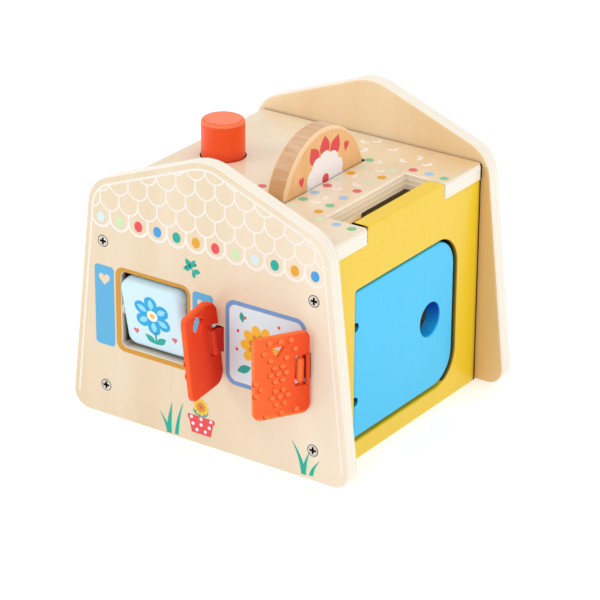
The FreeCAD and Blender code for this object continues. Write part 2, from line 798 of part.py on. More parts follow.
chimney_button()
collar_low = "(roof_underside - collar_gap - collar_height)"
piece(cut("chimney_collar",
          cylinder("collar_disc", "chimney_x", "0", collar_low, "collar / 2", "collar_height"),
          cylinder("collar_hole", "chimney_x", "0", collar_low, "chimney / 2 + collar_fit", "collar_height")),
      "chimney_collar")
chimney_spring()
chimney_shelf()
group("shelf_screws", [
    screw(f"shelf_screw_{index}", f"-{OUTER_X} + screw_sink", side + "shelf_screw_spread / 2", SHELF_SCREW_Z,
          (0, 1, 0), "90")
    for index, side in enumerate(("", "-"), start=1)])

# Spinning disc


def spinning_disc():
    body = new_body("spinning_disc", x="disc_x - disc_thickness / 2", z="disc_z")
    outline = new_sketch(body, "YZ_Plane")
    circle(outline, "0", "0", "disc / 2")
    pad(body, outline, "disc_thickness")
    soften(body, "Fillet", "disc_round", lambda edge: lies_at(edge, x="0") or
           lies_at(edge, x="disc_thickness"))
    bore = new_sketch(body, "YZ_Plane")
    circle(bore, "0", "0", "disc_axle / 2 + disc_axle_fit / 2")
    pocket(body, bore, "disc_thickness", forward=True)


def axle_block(label, start):
    """A block under the roof that carries one end of the disc's axle."""
    low = "(roof_underside - block_height)"
    wood = box(label + "_wood", start, "-block_length / 2", low, "block_width", "block_length", "block_height")
    groove = cylinder(label + "_groove", start, "0", "disc_z", "disc_axle / 2 + disc_axle_fit",
                      "block_width", "x")
    piece(cut(label, wood, groove), label)


def washer(name, start):
    plate = cylinder(name + "_plate", start, "0", "disc_z", "washer / 2", "washer_thickness", "x")
    hole = cylinder(name + "_hole", start, "0", "disc_z", "disc_axle / 2 + disc_axle_fit",
                    "washer_thickness", "x")
    return cut(name, plate, hole)


slot_half = "(disc_thickness / 2 + disc_side_gap)"
washer_gap = "((disc_side_gap - washer_thickness) / 2)"
spinning_disc()
piece(cylinder("disc_axle", "disc_x - disc_axle_reach", "0", "disc_z", "disc_axle / 2",
               "2 * disc_axle_reach", "x"), "disc_axle")
axle_block("left_axle_block", f"disc_x - {slot_half} - block_gap - block_width")
axle_block("right_axle_block", f"disc_x + {slot_half} + block_gap")
group("disc_washers", [
    washer("left_washer", f"disc_x - {slot_half} + {washer_gap}"),
    washer("right_washer", f"disc_x + {slot_half} - {washer_gap} - washer_thickness")])

# Picture tile


def picture_tile():
    """A thick rounded plate on a horizontal axle, drawn round that axle and leaned forward."""
    body = new_body("picture_tile", x="window_x", y=f"-{FACE} + {AXLE_DEPTH}", z="window_z",
                    axis=(1, 0, 0), angle="tile_tilt")
    outline = new_sketch(body, "XZ_Plane", "tile_thickness / 2")
    rectangle(outline, "-tile_width / 2", "tile_width / 2", "-tile_height / 2", "tile_height / 2")
    pad(body, outline, "tile_thickness", backward=True)
    soften(body, "Fillet", "tile_corner", lambda edge: along(edge, "y"))
    soften(body, "Fillet", "tile_edge_round", lambda edge: lies_at(edge, y="tile_thickness / 2") or
           lies_at(edge, y="-tile_thickness / 2"))
    bore = new_sketch(body, "YZ_Plane", "tile_width / 2")
    circle(bore, "0", "0", "tile_axle / 2 + tile_fit")
    pocket(body, bore, "tile_width")


def tile_spacer(name, start, thickness):
    axle_y = f"-{FACE} + {AXLE_DEPTH}"
    plate = cylinder(name + "_plate", start, axle_y, "window_z", "spacer / 2", thickness, "x")
    hole = cylinder(name + "_hole", start, axle_y, "window_z", "tile_axle / 2 + tile_fit / 2", thickness, "x")
    return cut(name, plate, hole)


picture_tile()
piece(cylinder("tile_axle", "window_x - window_width / 2 - tile_axle_seat + tile_fit",
               f"-{FACE} + {AXLE_DEPTH}", "window_z", "tile_axle / 2",
               "window_width + 2 * (tile_axle_seat - tile_fit)", "x"), "tile_axle")
side_gap = "((window_width - tile_width) / 2)"
spacer_thickness = f"({side_gap} - 2 * spacer_play)"
group("tile_spacers", [
    tile_spacer("left_spacer", "window_x - window_width / 2 + spacer_play", spacer_thickness),
    tile_spacer("right_spacer", "window_x + tile_width / 2 + spacer_play", spacer_thickness)])
group("tile_axle_keepers", [
    box(name, x, f"-{END}", "window_z - keeper_height / 2", "keeper_width", "keeper_depth", "keeper_height")
    for name, x in (("left_keeper", "window_x - window_width / 2 - keeper_inset - keeper_width"),
                    ("right_keeper", "window_x + window_width / 2 + keeper_inset"))])

# Soft shutters


def shutter(label, hinge_x, angle):
    """A soft leaf, drawn from its hinge bar along +X and then turned about that bar."""
    body = new_body(label, x=hinge_x, y=HINGE_Y, z="shutter_z", axis=(0, 0, 1), angle=f"180 + {angle}")
    outline = new_sketch(body, "XZ_Plane", "shutter_thickness / 2")
    free = "(shutter_width - hinge_inset)"
    rectangle(outline, "-hinge_inset", free, "-shutter_height / 2", "shutter_height / 2")
    pad(body, outline, "shutter_thickness", backward=True)
    soften(body, "Fillet", "shutter_corner", lambda edge: along(edge, "y"))
    soften(body, "Fillet", "shutter_edge_round", lambda edge: lies_at(edge, y="shutter_thickness / 2") or
           lies_at(edge, y="-shutter_thickness / 2"))
    level = "(window_z - shutter_z)"
    gap = new_sketch(body, "XZ_Plane", "-shutter_thickness / 2")
    rectangle(gap, "-hinge_inset", "hinge_bar_reach", f"{level} - hinge_bar_free / 2",
              f"{level} + hinge_bar_free / 2")
    pocket(body, gap, "shutter_thickness", forward=True)
    bar = new_sketch(body, "XY_Plane", f"{level} - hinge_bar_free / 2 - hinge_bar / 2")
    circle(bar, "0", "0", "hinge_bar / 2")
    pad(body, bar, "hinge_bar_free + hinge_bar")
    return body


def heart_hole(body):
    """A heart as a square on its corner with a circle on each upper side."""
    x = "heart_reach"
    z = "(shutter_height / 2 - heart_drop)"
    diagonal = f"(heart_side * {math.sqrt(0.5)})"
    square = new_sketch(body, "XZ_Plane", "-shutter_thickness / 2")
    polygon(square, [(x, f"{z} - {diagonal}"), (f"{x} + {diagonal}", z), (x, f"{z} + {diagonal}"),
                     (f"{x} - {diagonal}", z)])
    pocket(body, square, "shutter_thickness", forward=True)
    for side in ("+", "-"):
        lobe = new_sketch(body, "XZ_Plane", "-shutter_thickness / 2")
        circle(lobe, f"{x} {side} {diagonal} / 2", f"{z} + {diagonal} / 2", "heart_side / 2")
        pocket(body, lobe, "shutter_thickness", forward=True)


def triangle_hole(body):
    x = "triangle_reach"
    top = "(shutter_height / 2 - triangle_drop)"
    hole = new_sketch(body, "XZ_Plane", "-shutter_thickness / 2")
    polygon(hole, [(f"{x} - triangle_base / 2", top), (x, f"{top} - triangle_rise"),
                   (f"{x} + triangle_base / 2", top)])
    pocket(body, hole, "shutter_thickness", forward=True)


def stadium(name, hinge_x, radius):
    """A bar of half-round ends that reaches from the shutter's bar to the pin."""
    low = "window_z - loop_height / 2"
    length = f"({LOOP_PIN_Y} - {HINGE_Y})"
    middle = box(name + "_middle", f"{hinge_x} - {radius}", HINGE_Y, low, f"2 * {radius}", length,
                 "loop_height")
    ends = [cylinder(f"{name}_end_{index}", hinge_x, y, low, radius, "loop_height")
            for index, y in enumerate((HINGE_Y, LOOP_PIN_Y), start=1)]
    return fuse(name, [middle] + ends)


def hinge_loop(label, hinge_x):
    """The belt that ties a shutter's bar to the pin behind the board."""
    outer = stadium(label + "_outer", hinge_x, LOOP_OUTER)
    inner = stadium(label + "_inner", hinge_x, "(hinge_bar / 2 + loop_fit)")
    piece(cut(label, outer, inner), label)


heart_hole(shutter("left_shutter", "left_hinge_x", "left_shutter_angle"))
triangle_hole(shutter("right_shutter", "right_hinge_x", "right_shutter_angle"))
for side in ("left", "right"):
    hinge_loop(side + "_hinge_loop", side + "_hinge_x")
    piece(cylinder(side + "_loop_pin", side + "_hinge_x", LOOP_PIN_Y, "window_z - loop_pin_length / 2",
                   "loop_pin / 2", "loop_pin_length"), side + "_loop_pin")

# Checks and files

doc.recompute()
for thing in doc.Objects:
    if "Invalid" in thing.State or "Error" in thing.State:
        raise RuntimeError(f"{thing.Label} failed: {thing.State}")
os.makedirs("parts", exist_ok=True)
for sub_part in pieces:
    shape = sub_part.Shape
    if shape.isNull() or not shape.isValid() or not shape.Solids:
        raise RuntimeError(f"{sub_part.Label} has no valid solid")
for sub_part in pieces:
    sub_part.Shape.exportStep(f"parts/{sub_part.Label}.step")
    extent = sub_part.Shape.BoundBox
    print(f"{sub_part.Label}: {len(sub_part.Shape.Solids)} solids, {sub_part.Shape.Volume:.0f} mm3,",
          f"x {extent.XMin:.1f}..{extent.XMax:.1f}, y {extent.YMin:.1f}..{extent.YMax:.1f},",
          f"z {extent.ZMin:.1f}..{extent.ZMax:.1f}")
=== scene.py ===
import math

import bmesh
import bpy
from mathutils import Matrix, Vector
from mathutils.geometry import tessellate_polygon


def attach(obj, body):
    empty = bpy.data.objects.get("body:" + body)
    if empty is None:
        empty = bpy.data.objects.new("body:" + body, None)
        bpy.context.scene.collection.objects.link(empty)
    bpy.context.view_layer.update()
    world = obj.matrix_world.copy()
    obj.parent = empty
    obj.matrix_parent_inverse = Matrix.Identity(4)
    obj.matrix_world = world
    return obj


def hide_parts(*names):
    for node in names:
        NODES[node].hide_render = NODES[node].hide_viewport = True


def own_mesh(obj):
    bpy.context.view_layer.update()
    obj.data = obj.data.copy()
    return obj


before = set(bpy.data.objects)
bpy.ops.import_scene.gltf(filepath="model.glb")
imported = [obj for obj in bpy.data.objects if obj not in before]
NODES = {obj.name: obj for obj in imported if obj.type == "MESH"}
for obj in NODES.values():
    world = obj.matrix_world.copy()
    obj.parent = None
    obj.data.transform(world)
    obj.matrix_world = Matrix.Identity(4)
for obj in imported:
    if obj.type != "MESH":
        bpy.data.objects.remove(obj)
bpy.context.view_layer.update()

# Wooden hide and seek house: finishes, some with painted light and shade, printed patterns, soft
# shutters, studio and camera.
# The row frame has +X right along the front, +Y to the back and +Z up. Lengths in this script
# are in millimetres unless a comment says metres, and MM turns them into the scene's metres.

MM = 0.001

# Places of the CAD that the finishes, prints and soft pieces follow

BOARD = 12
GABLE_FACE = 107  # outer faces of the gables, in front and behind
GABLE_INNER = GABLE_FACE - BOARD
WALL_FACE = 95  # outer faces of the side walls
ROOF_TOP = 171
SCREW_X, SCREW_LEVELS = 89, (23.5, 134.7)
WINDOW_X, WINDOW_Z = -45, 87
TILE_AXLE_Y, TILE_HALF, TILE_TILT = -101, 7.3, math.radians(11.4)
DISC_X, DISC_Z, DISC_FACE = 16.5, 160.3, 25
CHIMNEY_X, CHIMNEY_RADIUS = -62.8, 15.9
FINGER_HOLE_Y, FINGER_HOLE_Z = 33.3, 70.5
HINGE_Y, SHUTTER_Z, BELT_Z = -114.1, 84.7, 87
LEFT_HINGE_X, LEFT_ANGLE = 11.4, 98
RIGHT_HINGE_X, RIGHT_ANGLE = 83.5, 57

# Node material helpers. A colour given as text is a screen colour in hexadecimal. What
# compares gives 1 where it holds and 0 elsewhere.

MIX_INPUTS, MIX_OUTPUT = (0, 6, 7), 2  # factor and the two colours, and the mixed colour
LAYER_PAIR, LAYER_START = 3.8, 0.45  # two layers of ply, and where the first of them begins


def linear(code):
    """The linear colour of a screen colour."""
    channels = [int(code[start:start + 2], 16) / 255 for start in (1, 3, 5)]
    return (*[c / 12.92 if c <= 0.04045 else ((c + 0.055) / 1.055) ** 2.4 for c in channels], 1.0)


class Shader:
    """A Principled material with short calls for the nodes that it uses."""

    def __init__(self, name):
        self.material = bpy.data.materials.new(name)
        self.material.use_nodes = True
        self.tree = self.material.node_tree
        self.surface = self.tree.nodes["Principled BSDF"]
        self.coordinates = self.add("ShaderNodeTexCoord")

    def add(self, kind, **settings):
        node = self.tree.nodes.new(kind)
        for key, value in settings.items():
            setattr(node, key, value)
        return node

    def put(self, value, socket):
        """Joins a socket to another node's output, or sets it to a value."""
        if isinstance(value, bpy.types.NodeSocket):
            self.tree.links.new(value, socket)
        else:
            socket.default_value = linear(value) if isinstance(value, str) else value

    def feed(self, node, **inputs):
        """Puts values or outputs into inputs, by their names."""
        for key, value in inputs.items():
            self.put(value, node.inputs[key.replace("_", " ")])

    def scaled(self, stretch, turn=(0, 0, 0)):
        """The object's coordinates, stretched by one factor or by a factor along each axis."""
        node = self.add("ShaderNodeMapping")
        if not isinstance(stretch, tuple):
            stretch = (stretch, stretch, stretch)
        self.feed(node, Vector=self.coordinates.outputs["Object"], Scale=stretch, Rotation=turn)
        return node.outputs["Vector"]

    def noise(self, stretch, scale=1.0, detail=3.0, roughness=0.5, distortion=0.0, turn=(0, 0, 0)):
        node = self.add("ShaderNodeTexNoise")
        self.feed(node, Vector=self.scaled(stretch, turn), Scale=scale, Detail=detail,
                  Roughness=roughness, Distortion=distortion)
        return node.outputs["Fac"]

    def ramp(self, value, *stops):
        """Colours or greys at positions from 0 to 1."""
        node = self.add("ShaderNodeValToRGB")
        elements = node.color_ramp.elements
        while len(elements) < len(stops):
            elements.new(0.5)
        for element, (position, tone) in zip(elements, stops):
            element.position = position
            element.color = linear(tone) if isinstance(tone, str) else (tone, tone, tone, 1)
        self.put(value, node.inputs["Fac"])
        return node.outputs["Color"]

    def mix(self, share, first, second):
        node = self.add("ShaderNodeMix", data_type="RGBA")
        for index, value in zip(MIX_INPUTS, (share, first, second)):
            self.put(value, node.inputs[index])
        return node.outputs[MIX_OUTPUT]

    def tint(self, colour, other, share, *stops):
        """A colour mixed with another one by a share, or by a ramp along a value."""
        return self.mix(self.ramp(share, *stops) if stops else share, colour, other)

    def stain(self, colour, other, value, start, end, share):
        """A colour that takes on another one as a value goes from start to end."""
        return self.tint(colour, other, value, (start, 0.0), (end, share))

    def math(self, operation, first, second=0.0):
        node = self.add("ShaderNodeMath", operation=operation)
        self.put(first, node.inputs[0])
        self.put(second, node.inputs[1])
        return node.outputs["Value"]

    def product(self, first, *others):
        for other in others:
            first = self.math("MULTIPLY", first, other)
        return first

    def size(self, value):
        return self.math("ABSOLUTE", value)

    def above(self, value, limit):
        return self.math("GREATER_THAN", value, limit)

    def below(self, value, limit):
        return self.math("LESS_THAN", value, limit)

    def distance(self, value, centre):
        return self.size(self.math("SUBTRACT", value, centre))

    def near(self, value, centre, reach):
        return self.below(self.distance(value, centre), reach)

    def within(self, place, **spans):
        """Within a distance of a centre along each axis that is named."""
        return self.product(*[self.near(place[axis], *span) for axis, span in spans.items()])

    def part_of(self, value, low, high):
        """Where a value lies between two limits: 0 at low, 1 at high, and on beyond them."""
        return self.math("DIVIDE", self.math("SUBTRACT", value, low), high - low)

    def split(self, vector):
        node = self.add("ShaderNodeSeparateXYZ")
        self.put(vector, node.inputs["Vector"])
        return node.outputs

    def millimetres(self):
        """The object's own coordinates in millimetres, as three numbers."""
        return self.split(self.scaled(1000))

    def beyond(self, axis, limit):
        """Where the distance from the house's middle plane exceeds a limit."""
        return self.above(self.size(self.millimetres()[axis.upper()]), limit)

    def normal(self, axis):
        return self.split(self.coordinates.outputs["Normal"])[axis.upper()]

    def facing(self, axis, threshold=0.72):
        return self.above(self.size(self.normal(axis)), threshold)

    def across(self, axis, threshold=0.72):
        """Where the surface doesn't face along an axis."""
        return self.below(self.size(self.normal(axis)), threshold)

    def gloss(self, colour, share):
        """A share that falls to nothing where the colour is very dark, as in a joint or a painted
        shade.
        """
        grey = self.add("ShaderNodeRGBToBW")
        self.put(colour, grey.inputs["Color"])
        return self.product(self.ramp(grey.outputs["Val"], (0.03, 0.0), (0.2, 1.0)), share)

    def bump(self, height, strength, distance):
        """A raised grain, with its height in metres."""
        node = self.add("ShaderNodeBump")
        self.feed(node, Height=height, Strength=strength, Distance=distance)
        self.put(node.outputs["Normal"], self.surface.inputs["Normal"])

    def finish(self, **inputs):
        self.feed(self.surface, **inputs)
        return self.material


def along(axis, with_grain, across_grain):
    """Stretch factors for a grain that runs along one axis."""
    return tuple(with_grain if name == axis else across_grain for name in "xyz")


# Materials


def ply_wood(name, face_axis, grain_axis, start, light="#e8d6bb", dark="#dfc9a6",
             fleck="#d2b88e", coat=0.5, tones=None):
    """Lacquered ply with soft long grain on its faces and thin layers on its edges.

    start is where the board begins along its face axis. tones, where given, paints light and shade into
    the final colours."""
    mat = Shader(name)
    broad = mat.noise(along(grain_axis, 1.08, 15.6), 1.4, 3, 0.55, 0.4)
    fine = mat.noise(along(grain_axis, 9, 130), 3.2, 4, 0.6, 0.15)
    flecks = mat.noise(along(grain_axis, 9, 130), 11, 2, 0.7)
    face = mat.ramp(broad, (0.30, light), (0.72, dark))
    face = mat.stain(face, dark, fine, 0.42, 0.75, 0.28)
    face = mat.stain(face, fleck, flecks, 0.60, 0.80, 0.22)
    place = mat.millimetres()
    wobble = mat.product(mat.noise(60, 2, 2), 0.3)
    depth = mat.math("ADD", place[face_axis.upper()], wobble)
    inside_board = mat.math("SUBTRACT", depth, start + LAYER_START)
    layer = mat.math("FRACT", mat.math("DIVIDE", inside_board, LAYER_PAIR))
    edge = mat.ramp(layer, (0.20, "#f6eddf"), (0.32, "#f1e5d2"), (0.68, "#f1e5d2"), (0.80, "#f6eddf"))
    if tones:
        face, edge = tones(mat, place, face, edge, layer)
    colour = mat.mix(mat.facing(face_axis), edge, face)
    mat.bump(mat.math("ADD", fine, mat.product(flecks, 0.5)), 0.2, 0.0001)
    return mat.finish(Base_Color=colour, Coat_Roughness=0.2,
                      Roughness=mat.ramp(fine, (0.3, 0.42), (0.8, 0.56)),
                      Specular_IOR_Level=mat.gloss(colour, 0.5), Coat_Weight=mat.gloss(colour, coat))


def front_painted_light(mat, place, face, edge, layer):
    """Painted light: a paler right half, as if lit more, and painted shade in the window cut that
    darkens towards the inside, less on its lit sill.
    """
    # Painted light: the right half paler.
    right = mat.part_of(place["X"], -120, 120)
    face = mat.stain(face, "#f6ead8", right, 0.45, 0.95, 0.5)
    # Painted shade in the window cut, lighter on its lit sill.
    in_window = mat.within(place, X=(WINDOW_X, 29.5), Z=(WINDOW_Z, 29.5))
    depth = mat.part_of(place["Y"], -GABLE_FACE, -GABLE_INNER)
    inward = mat.ramp(depth, (0.02, 0.0), (0.5, 0.95))
    lit_sill = mat.product(mat.above(mat.normal("z"), 0.5), 0.6)
    shade = mat.product(in_window, inward, mat.math("SUBTRACT", 1, lit_sill))
    return face, mat.tint(edge, "#1f1a12", shade)


def rear_painted_light(mat, place, face, edge, layer):
    """Painted warm light reflected from the yellow wall: a warmer right side, warmest, with painted
    shade, in the corner behind the wall's end.
    """
    # Painted shade and warm reflected light in the corner behind the wall's end.
    corner = mat.product(mat.above(place["X"], WALL_FACE), mat.below(place["Z"], 168),
                         mat.below(place["Y"], 101))
    depth = mat.ramp(mat.part_of(place["X"], WALL_FACE, 118), (0.0, 0.75), (1.0, 0.35))
    face = mat.tint(face, "#d9a34c", mat.product(corner, depth))
    # Painted warm reflected light, stronger to the right.
    right = mat.part_of(place["X"], 0, 110)
    return mat.tint(face, "#e6bd7c", right, (0.0, 0.1), (1.0, 0.5)), edge


def roof_shade_and_joints(mat, place, face, edge, layer):
    """A warm rear right corner, bare layers in the posting slot, dark joints at the board's ends
    widened by painted shade, and painted shade round the disc and the chimney.
    """
    bare = mat.ramp(layer, (0.10, "#f8efe2"), (0.30, "#d9c6a8"), (0.50, "#f4e9d8"),
                    (0.70, "#d6c2a2"), (0.90, "#f8efe2"))
    edge = mat.mix(mat.below(place["X"], 90), edge, bare)
    # Painted shade in the gap between the disc and its slot.
    edge = mat.tint(edge, "#2a1608", mat.within(place, X=(DISC_X, 14), Y=(0, 57)))
    # Painted shade, reddened as a reflection of the button, in the gap round the chimney.
    edge = mat.tint(edge, "#3a0c04", mat.within(place, X=(CHIMNEY_X, 18.5), Y=(0, 18.5)))
    warm = mat.product(mat.ramp(mat.part_of(place["X"], 10, 80), (0.0, 0.0), (1.0, 0.8)),
                       mat.ramp(mat.part_of(place["Y"], 30, 90), (0.0, 0.0), (1.0, 0.8)))
    face = mat.tint(face, "#e0ac5c", warm)
    # Dark joints at the board's ends, widened as painted shade in their grooves.
    face = mat.tint(face, "#7a5220", mat.beyond("y", 93.5))
    return face, mat.tint(edge, "#3a240a", mat.beyond("y", 92.2))


def solid_wood(name, grain_axis, light, dark, deep, rim=None):
    """Solid wood with pores. rim is the tone of a disc's turned edge, with its end grain, painted shade
    towards its foot and a painted highlight on its rounding.
    """
    mat = Shader(name)
    broad = mat.noise(along(grain_axis, 2.8, 32), 1.6, 3, 0.55, 0.6)
    fine = mat.noise(along(grain_axis, 14, 160), 3.0, 4, 0.65, 0.2)
    pores = mat.noise(along(grain_axis, 30.8, 352), 5.0, 2, 0.7)
    colour = mat.ramp(broad, (0.3, light), (0.7, dark))
    colour = mat.stain(colour, dark, fine, 0.4, 0.75, 0.55)
    colour = mat.stain(colour, deep, pores, 0.58, 0.72, 0.5)
    if rim:
        rays = mat.noise((26, 260, 260), 1.0, 3, 0.6, 0.5, turn=(0, 0, 0.3))
        turned_edge = mat.stain(rim, deep, rays, 0.42, 0.60, 0.6)
        # Painted shade: the turned edge darkens towards the roof.
        low = mat.part_of(mat.millimetres()["Z"], 206, 172)
        turned_edge = mat.stain(turned_edge, deep, low, 0.1, 1.0, 0.75)
        colour = mat.mix(mat.across("x", 0.25), colour, turned_edge)
        # Painted highlight: a pale band on the rounding between the face and the turned edge.
        rounding = mat.product(mat.facing("x", 0.25), mat.across("x", 0.96), 0.55)
        colour = mat.tint(colour, "#fadfb8", rounding)
    mat.bump(mat.math("SUBTRACT", fine, pores), 0.3, 0.00012)
    return mat.finish(Base_Color=colour, Specular_IOR_Level=0.45,
                      Roughness=mat.ramp(fine, (0.3, 0.38), (0.8, 0.55)))


def paint(name, colour, shade, grain_axis="z", coat=0.0, tones=None):
    """Paint over wood with a little grain. tones gives a piece its painted shade and highlights, and
    its dark joints.
    """
    mat = Shader(name)
    grain = mat.noise(along(grain_axis, 10, 110), 3.0, 4, 0.6, 0.2)
    tone = mat.stain(colour, shade, mat.noise(14, 1.0, 2), 0.35, 0.7, 0.35)
    tone = mat.stain(tone, shade, grain, 0.5, 0.8, 0.25)
    if tones:
        tone = tones(mat, mat.millimetres(), tone)
    mat.bump(mat.math("ADD", grain, mat.noise(900, 1.0, 2)), 0.12, 0.0001)
    return mat.finish(Base_Color=tone, Coat_Roughness=0.15, Specular_IOR_Level=mat.gloss(tone, 0.5),
                      Coat_Weight=mat.gloss(tone, coat),
                      Roughness=mat.ramp(grain, (0.3, 0.33), (0.8, 0.48)))


def wall_shade_and_joints(mat, place, tone):
    """Painted shade in the cut round the door, darkening inwards, and dark joints at the ends with
    painted shade growing towards them.
    """
    # Painted shade: the faces of the cut round the door darken inwards.
    cut = mat.product(mat.near(place["Y"], 0, 68), mat.facing("y", 0.4))
    inward = mat.ramp(mat.part_of(place["X"], WALL_FACE, 88), (0.0, "#9c7a08"),
                      (0.45, "#4a3606"), (0.8, "#120c02"))
    tone = mat.mix(cut, tone, inward)
    # Dark joints at the ends, with painted shade growing towards them.
    to_end = mat.part_of(mat.size(place["Y"]), 86, GABLE_INNER)
    return mat.tint(tone, "#55380c", to_end, (0.4, 0.0), (0.74, 0.3), (0.8, 1.0))


def door_painted_shade(mat, place, tone):
    """Painted shade in the finger hole: deep blue, darkest at its top."""
    hole = mat.product(mat.within(place, Y=(FINGER_HOLE_Y, 14), Z=(FINGER_HOLE_Z, 14)), mat.across("x"))
    depth = mat.ramp(mat.part_of(place["Z"], 58, 83), (0.1, "#0cbaff"), (0.6, "#0664d4"),
                     (0.95, "#0338a0"))
    return mat.mix(hole, tone, depth)


def chimney_painted_light(mat, place, tone):
    """A top painted paler as its sheen, a painted highlight on its rounding, and painted shade in a
    deeper red near the roof.
    """
    # Painted sheen: a paler top.
    tone = mat.tint(tone, "#ff8458", mat.product(mat.facing("z", 0.95), 0.75))
    # Painted highlight on the top's rounding.
    rounding = mat.product(mat.across("z", 0.8), mat.above(place["Z"], 196.6), 0.5)
    tone = mat.tint(tone, "#ff9468", rounding)
    # Painted shade: a deeper red near the roof.
    above_roof = mat.part_of(place["Z"], ROOF_TOP, ROOF_TOP + 8)
    return mat.tint(tone, "#d81e04", above_roof, (0.0, 0.6), (1.0, 0.0))


def silicone(name, colour, shade, rim=None, deep=None):
    """Soft moulded silicone with a dull sheen and a little glow through thin edges.

    rim is a painted highlight, paler towards a shutter's free edge and along its outer rims, and deep a
    painted shade for its hinge side."""
    mat = Shader(name)
    cloud = mat.noise(60)
    tone = mat.stain(colour, shade, cloud, 0.35, 0.75, 0.45)
    if rim:
        # Painted light: paler towards the free edge, painted shade at the hinge, and a painted
        # highlight along the outer rims.
        place = mat.millimetres()
        to_free_edge = mat.part_of(place["X"], -6, 35)
        tone = mat.stain(tone, rim, to_free_edge, 0.1, 1.0, 0.4)
        from_hinge = mat.part_of(place["X"], -6, 14)
        tone = mat.tint(tone, deep, from_hinge, (0.1, 0.55), (1.0, 0.0))
        across = mat.part_of(place["X"], 14.2, 34.8)
        up = mat.math("DIVIDE", mat.size(place["Z"]), 31)
        tone = mat.stain(tone, rim, mat.math("MAXIMUM", across, up), 0.93, 0.985, 0.75)
    mat.bump(mat.noise(2200, 1.0, 2), 0.10, 0.00006)
    return mat.finish(Base_Color=tone, Roughness=mat.ramp(cloud, (0.3, 0.44), (0.7, 0.56)),
                      Subsurface_Weight=0.1, Subsurface_Radius=(0.003, 0.0008, 0.0004),
                      Subsurface_Scale=1.0, Specular_IOR_Level=0.16)


def shaded_belt_silicone(name, front, flank, deep, wall):
    """Silicone with painted shade: brightest where the belt shows and painted deep red in the shade
    towards the wall.
    """
    mat = Shader(name)
    skin = mat.noise(2200, 1.0, 2)
    # Painted shade: darker red on the flank and deepest towards the wall.
    inward = mat.part_of(mat.millimetres()["Y"], HINGE_Y - 3.2, -GABLE_FACE)
    tone = mat.ramp(inward, (0.05, front), (0.22, flank), (0.36, deep), (0.9, wall))
    mat.bump(skin, 0.1, 0.00006)
    return mat.finish(Base_Color=tone, Specular_IOR_Level=0.3,
                      Roughness=mat.ramp(skin, (0.3, 0.4), (0.7, 0.5)))


def steel(name, colour, dark, roughness, recess=None):
    """Drawn or turned steel with fine lines and darker marks.

    recess is where a screw's cross recess begins, from the middle of the house; the recess and a cross
    over the head are painted dark as their shade. Its head also has a dark ring of painted shade where
    it meets the wood."""
    mat = Shader(name)
    lines = mat.noise(along("x", 300, 2400), 1.0, 3, 0.6)
    tone = mat.stain(colour, dark, mat.noise(220, 1.0, 2), 0.4, 0.75, 0.6)
    metal = 1.0
    if recess:
        # Painted shade: dark in the recess, a dark cross over the head and a dark ring where the head
        # meets the wood.
        metal = mat.beyond("y", recess)
        tone = mat.mix(metal, "#1a1613", tone)
        place = mat.millimetres()
        across = mat.distance(mat.size(place["X"]), SCREW_X)
        up = mat.math("MINIMUM", *[mat.distance(place["Z"], level) for level in SCREW_LEVELS])
        narrow, wide = mat.math("MINIMUM", across, up), mat.math("MAXIMUM", across, up)
        cross = mat.product(mat.below(narrow, 0.85), mat.below(wide, 2.7))
        tone = mat.tint(tone, "#15110d", cross)
        radius = mat.math("SQRT", mat.math("ADD", mat.product(across, across), mat.product(up, up)))
        tone = mat.stain(tone, "#4a3c2c", mat.part_of(radius, 3.4, 4.5), 0.1, 0.6, 0.8)
    mat.bump(lines, 0.15, 0.00004)
    return mat.finish(Base_Color=tone, Metallic=metal, Roughness=mat.ramp(
        lines, (0.3, roughness - 0.08), (0.8, roughness + 0.12)))


def printed(name, colour, shade):
    """Screen ink: flat colour with a faint mottle and the sheen of thin ink."""
    mat = Shader(name)
    mottle = mat.noise(700, 1.0, 3, 0.6)
    tone = mat.stain(colour, shade, mottle, 0.4, 0.8, 0.25)
    mat.bump(mottle, 0.06, 0.00003)
    return mat.finish(Base_Color=tone, Specular_IOR_Level=0.4,
                      Roughness=mat.ramp(mottle, (0.3, 0.40), (0.7, 0.52)))


def dress(material, *names):
    """Gives nodes of the CAD one material."""
    for name in names:
        mesh = NODES[name].data
        for index in range(len(mesh.materials)):
            mesh.materials[index] = material


BEECH = ("#e6c79b", "#d8b181", "#b98c5c")
dress(ply_wood("front_ply", "y", "z", -GABLE_FACE, tones=front_painted_light), "front_gable")
dress(ply_wood("rear_ply", "y", "z", GABLE_INNER, "#fae5c3", "#f1d4a6", "#dfbd86",
               tones=rear_painted_light), "rear_gable")
dress(ply_wood("roof_ply", "z", "y", ROOF_TOP - BOARD, "#efe0c6", "#e6d1ae", "#d5bc93", coat=0.9,
               tones=roof_shade_and_joints), "roof_board")
dress(ply_wood("base_ply", "z", "y", 0), "base_board")
dress(solid_wood("block_beech", "x", *BEECH), "left_axle_block", "right_axle_block",
      "tile_axle_keepers", "chimney_shelf", "door_stop", "chimney_collar", "disc_axle")
dress(solid_wood("dowel_beech", "z", *BEECH), "roof_dowels", "base_dowels")
dress(solid_wood("disc_beech", "z", "#f6c48c", "#efb577", "#c98f55", rim="#dab694"), "spinning_disc")
dress(paint("yellow_paint", "#f0c900", "#e9bf00", coat=0.3, tones=wall_shade_and_joints), "right_wall",
      "left_wall")
dress(paint("blue_paint", "#04c2f4", "#02baee", coat=0.45, tones=door_painted_shade), "door")
dress(paint("orange_paint", "#fd5614", "#f8480c", tones=chimney_painted_light), "chimney_button")
dress(paint("tile_paint", "#d0edf8", "#c6e6f3", grain_axis="x"), "picture_tile")
dress(silicone("orange_silicone", "#f65012", "#ee400c"), "left_shutter", "right_shutter",
      "left_hinge_loop", "right_hinge_loop")
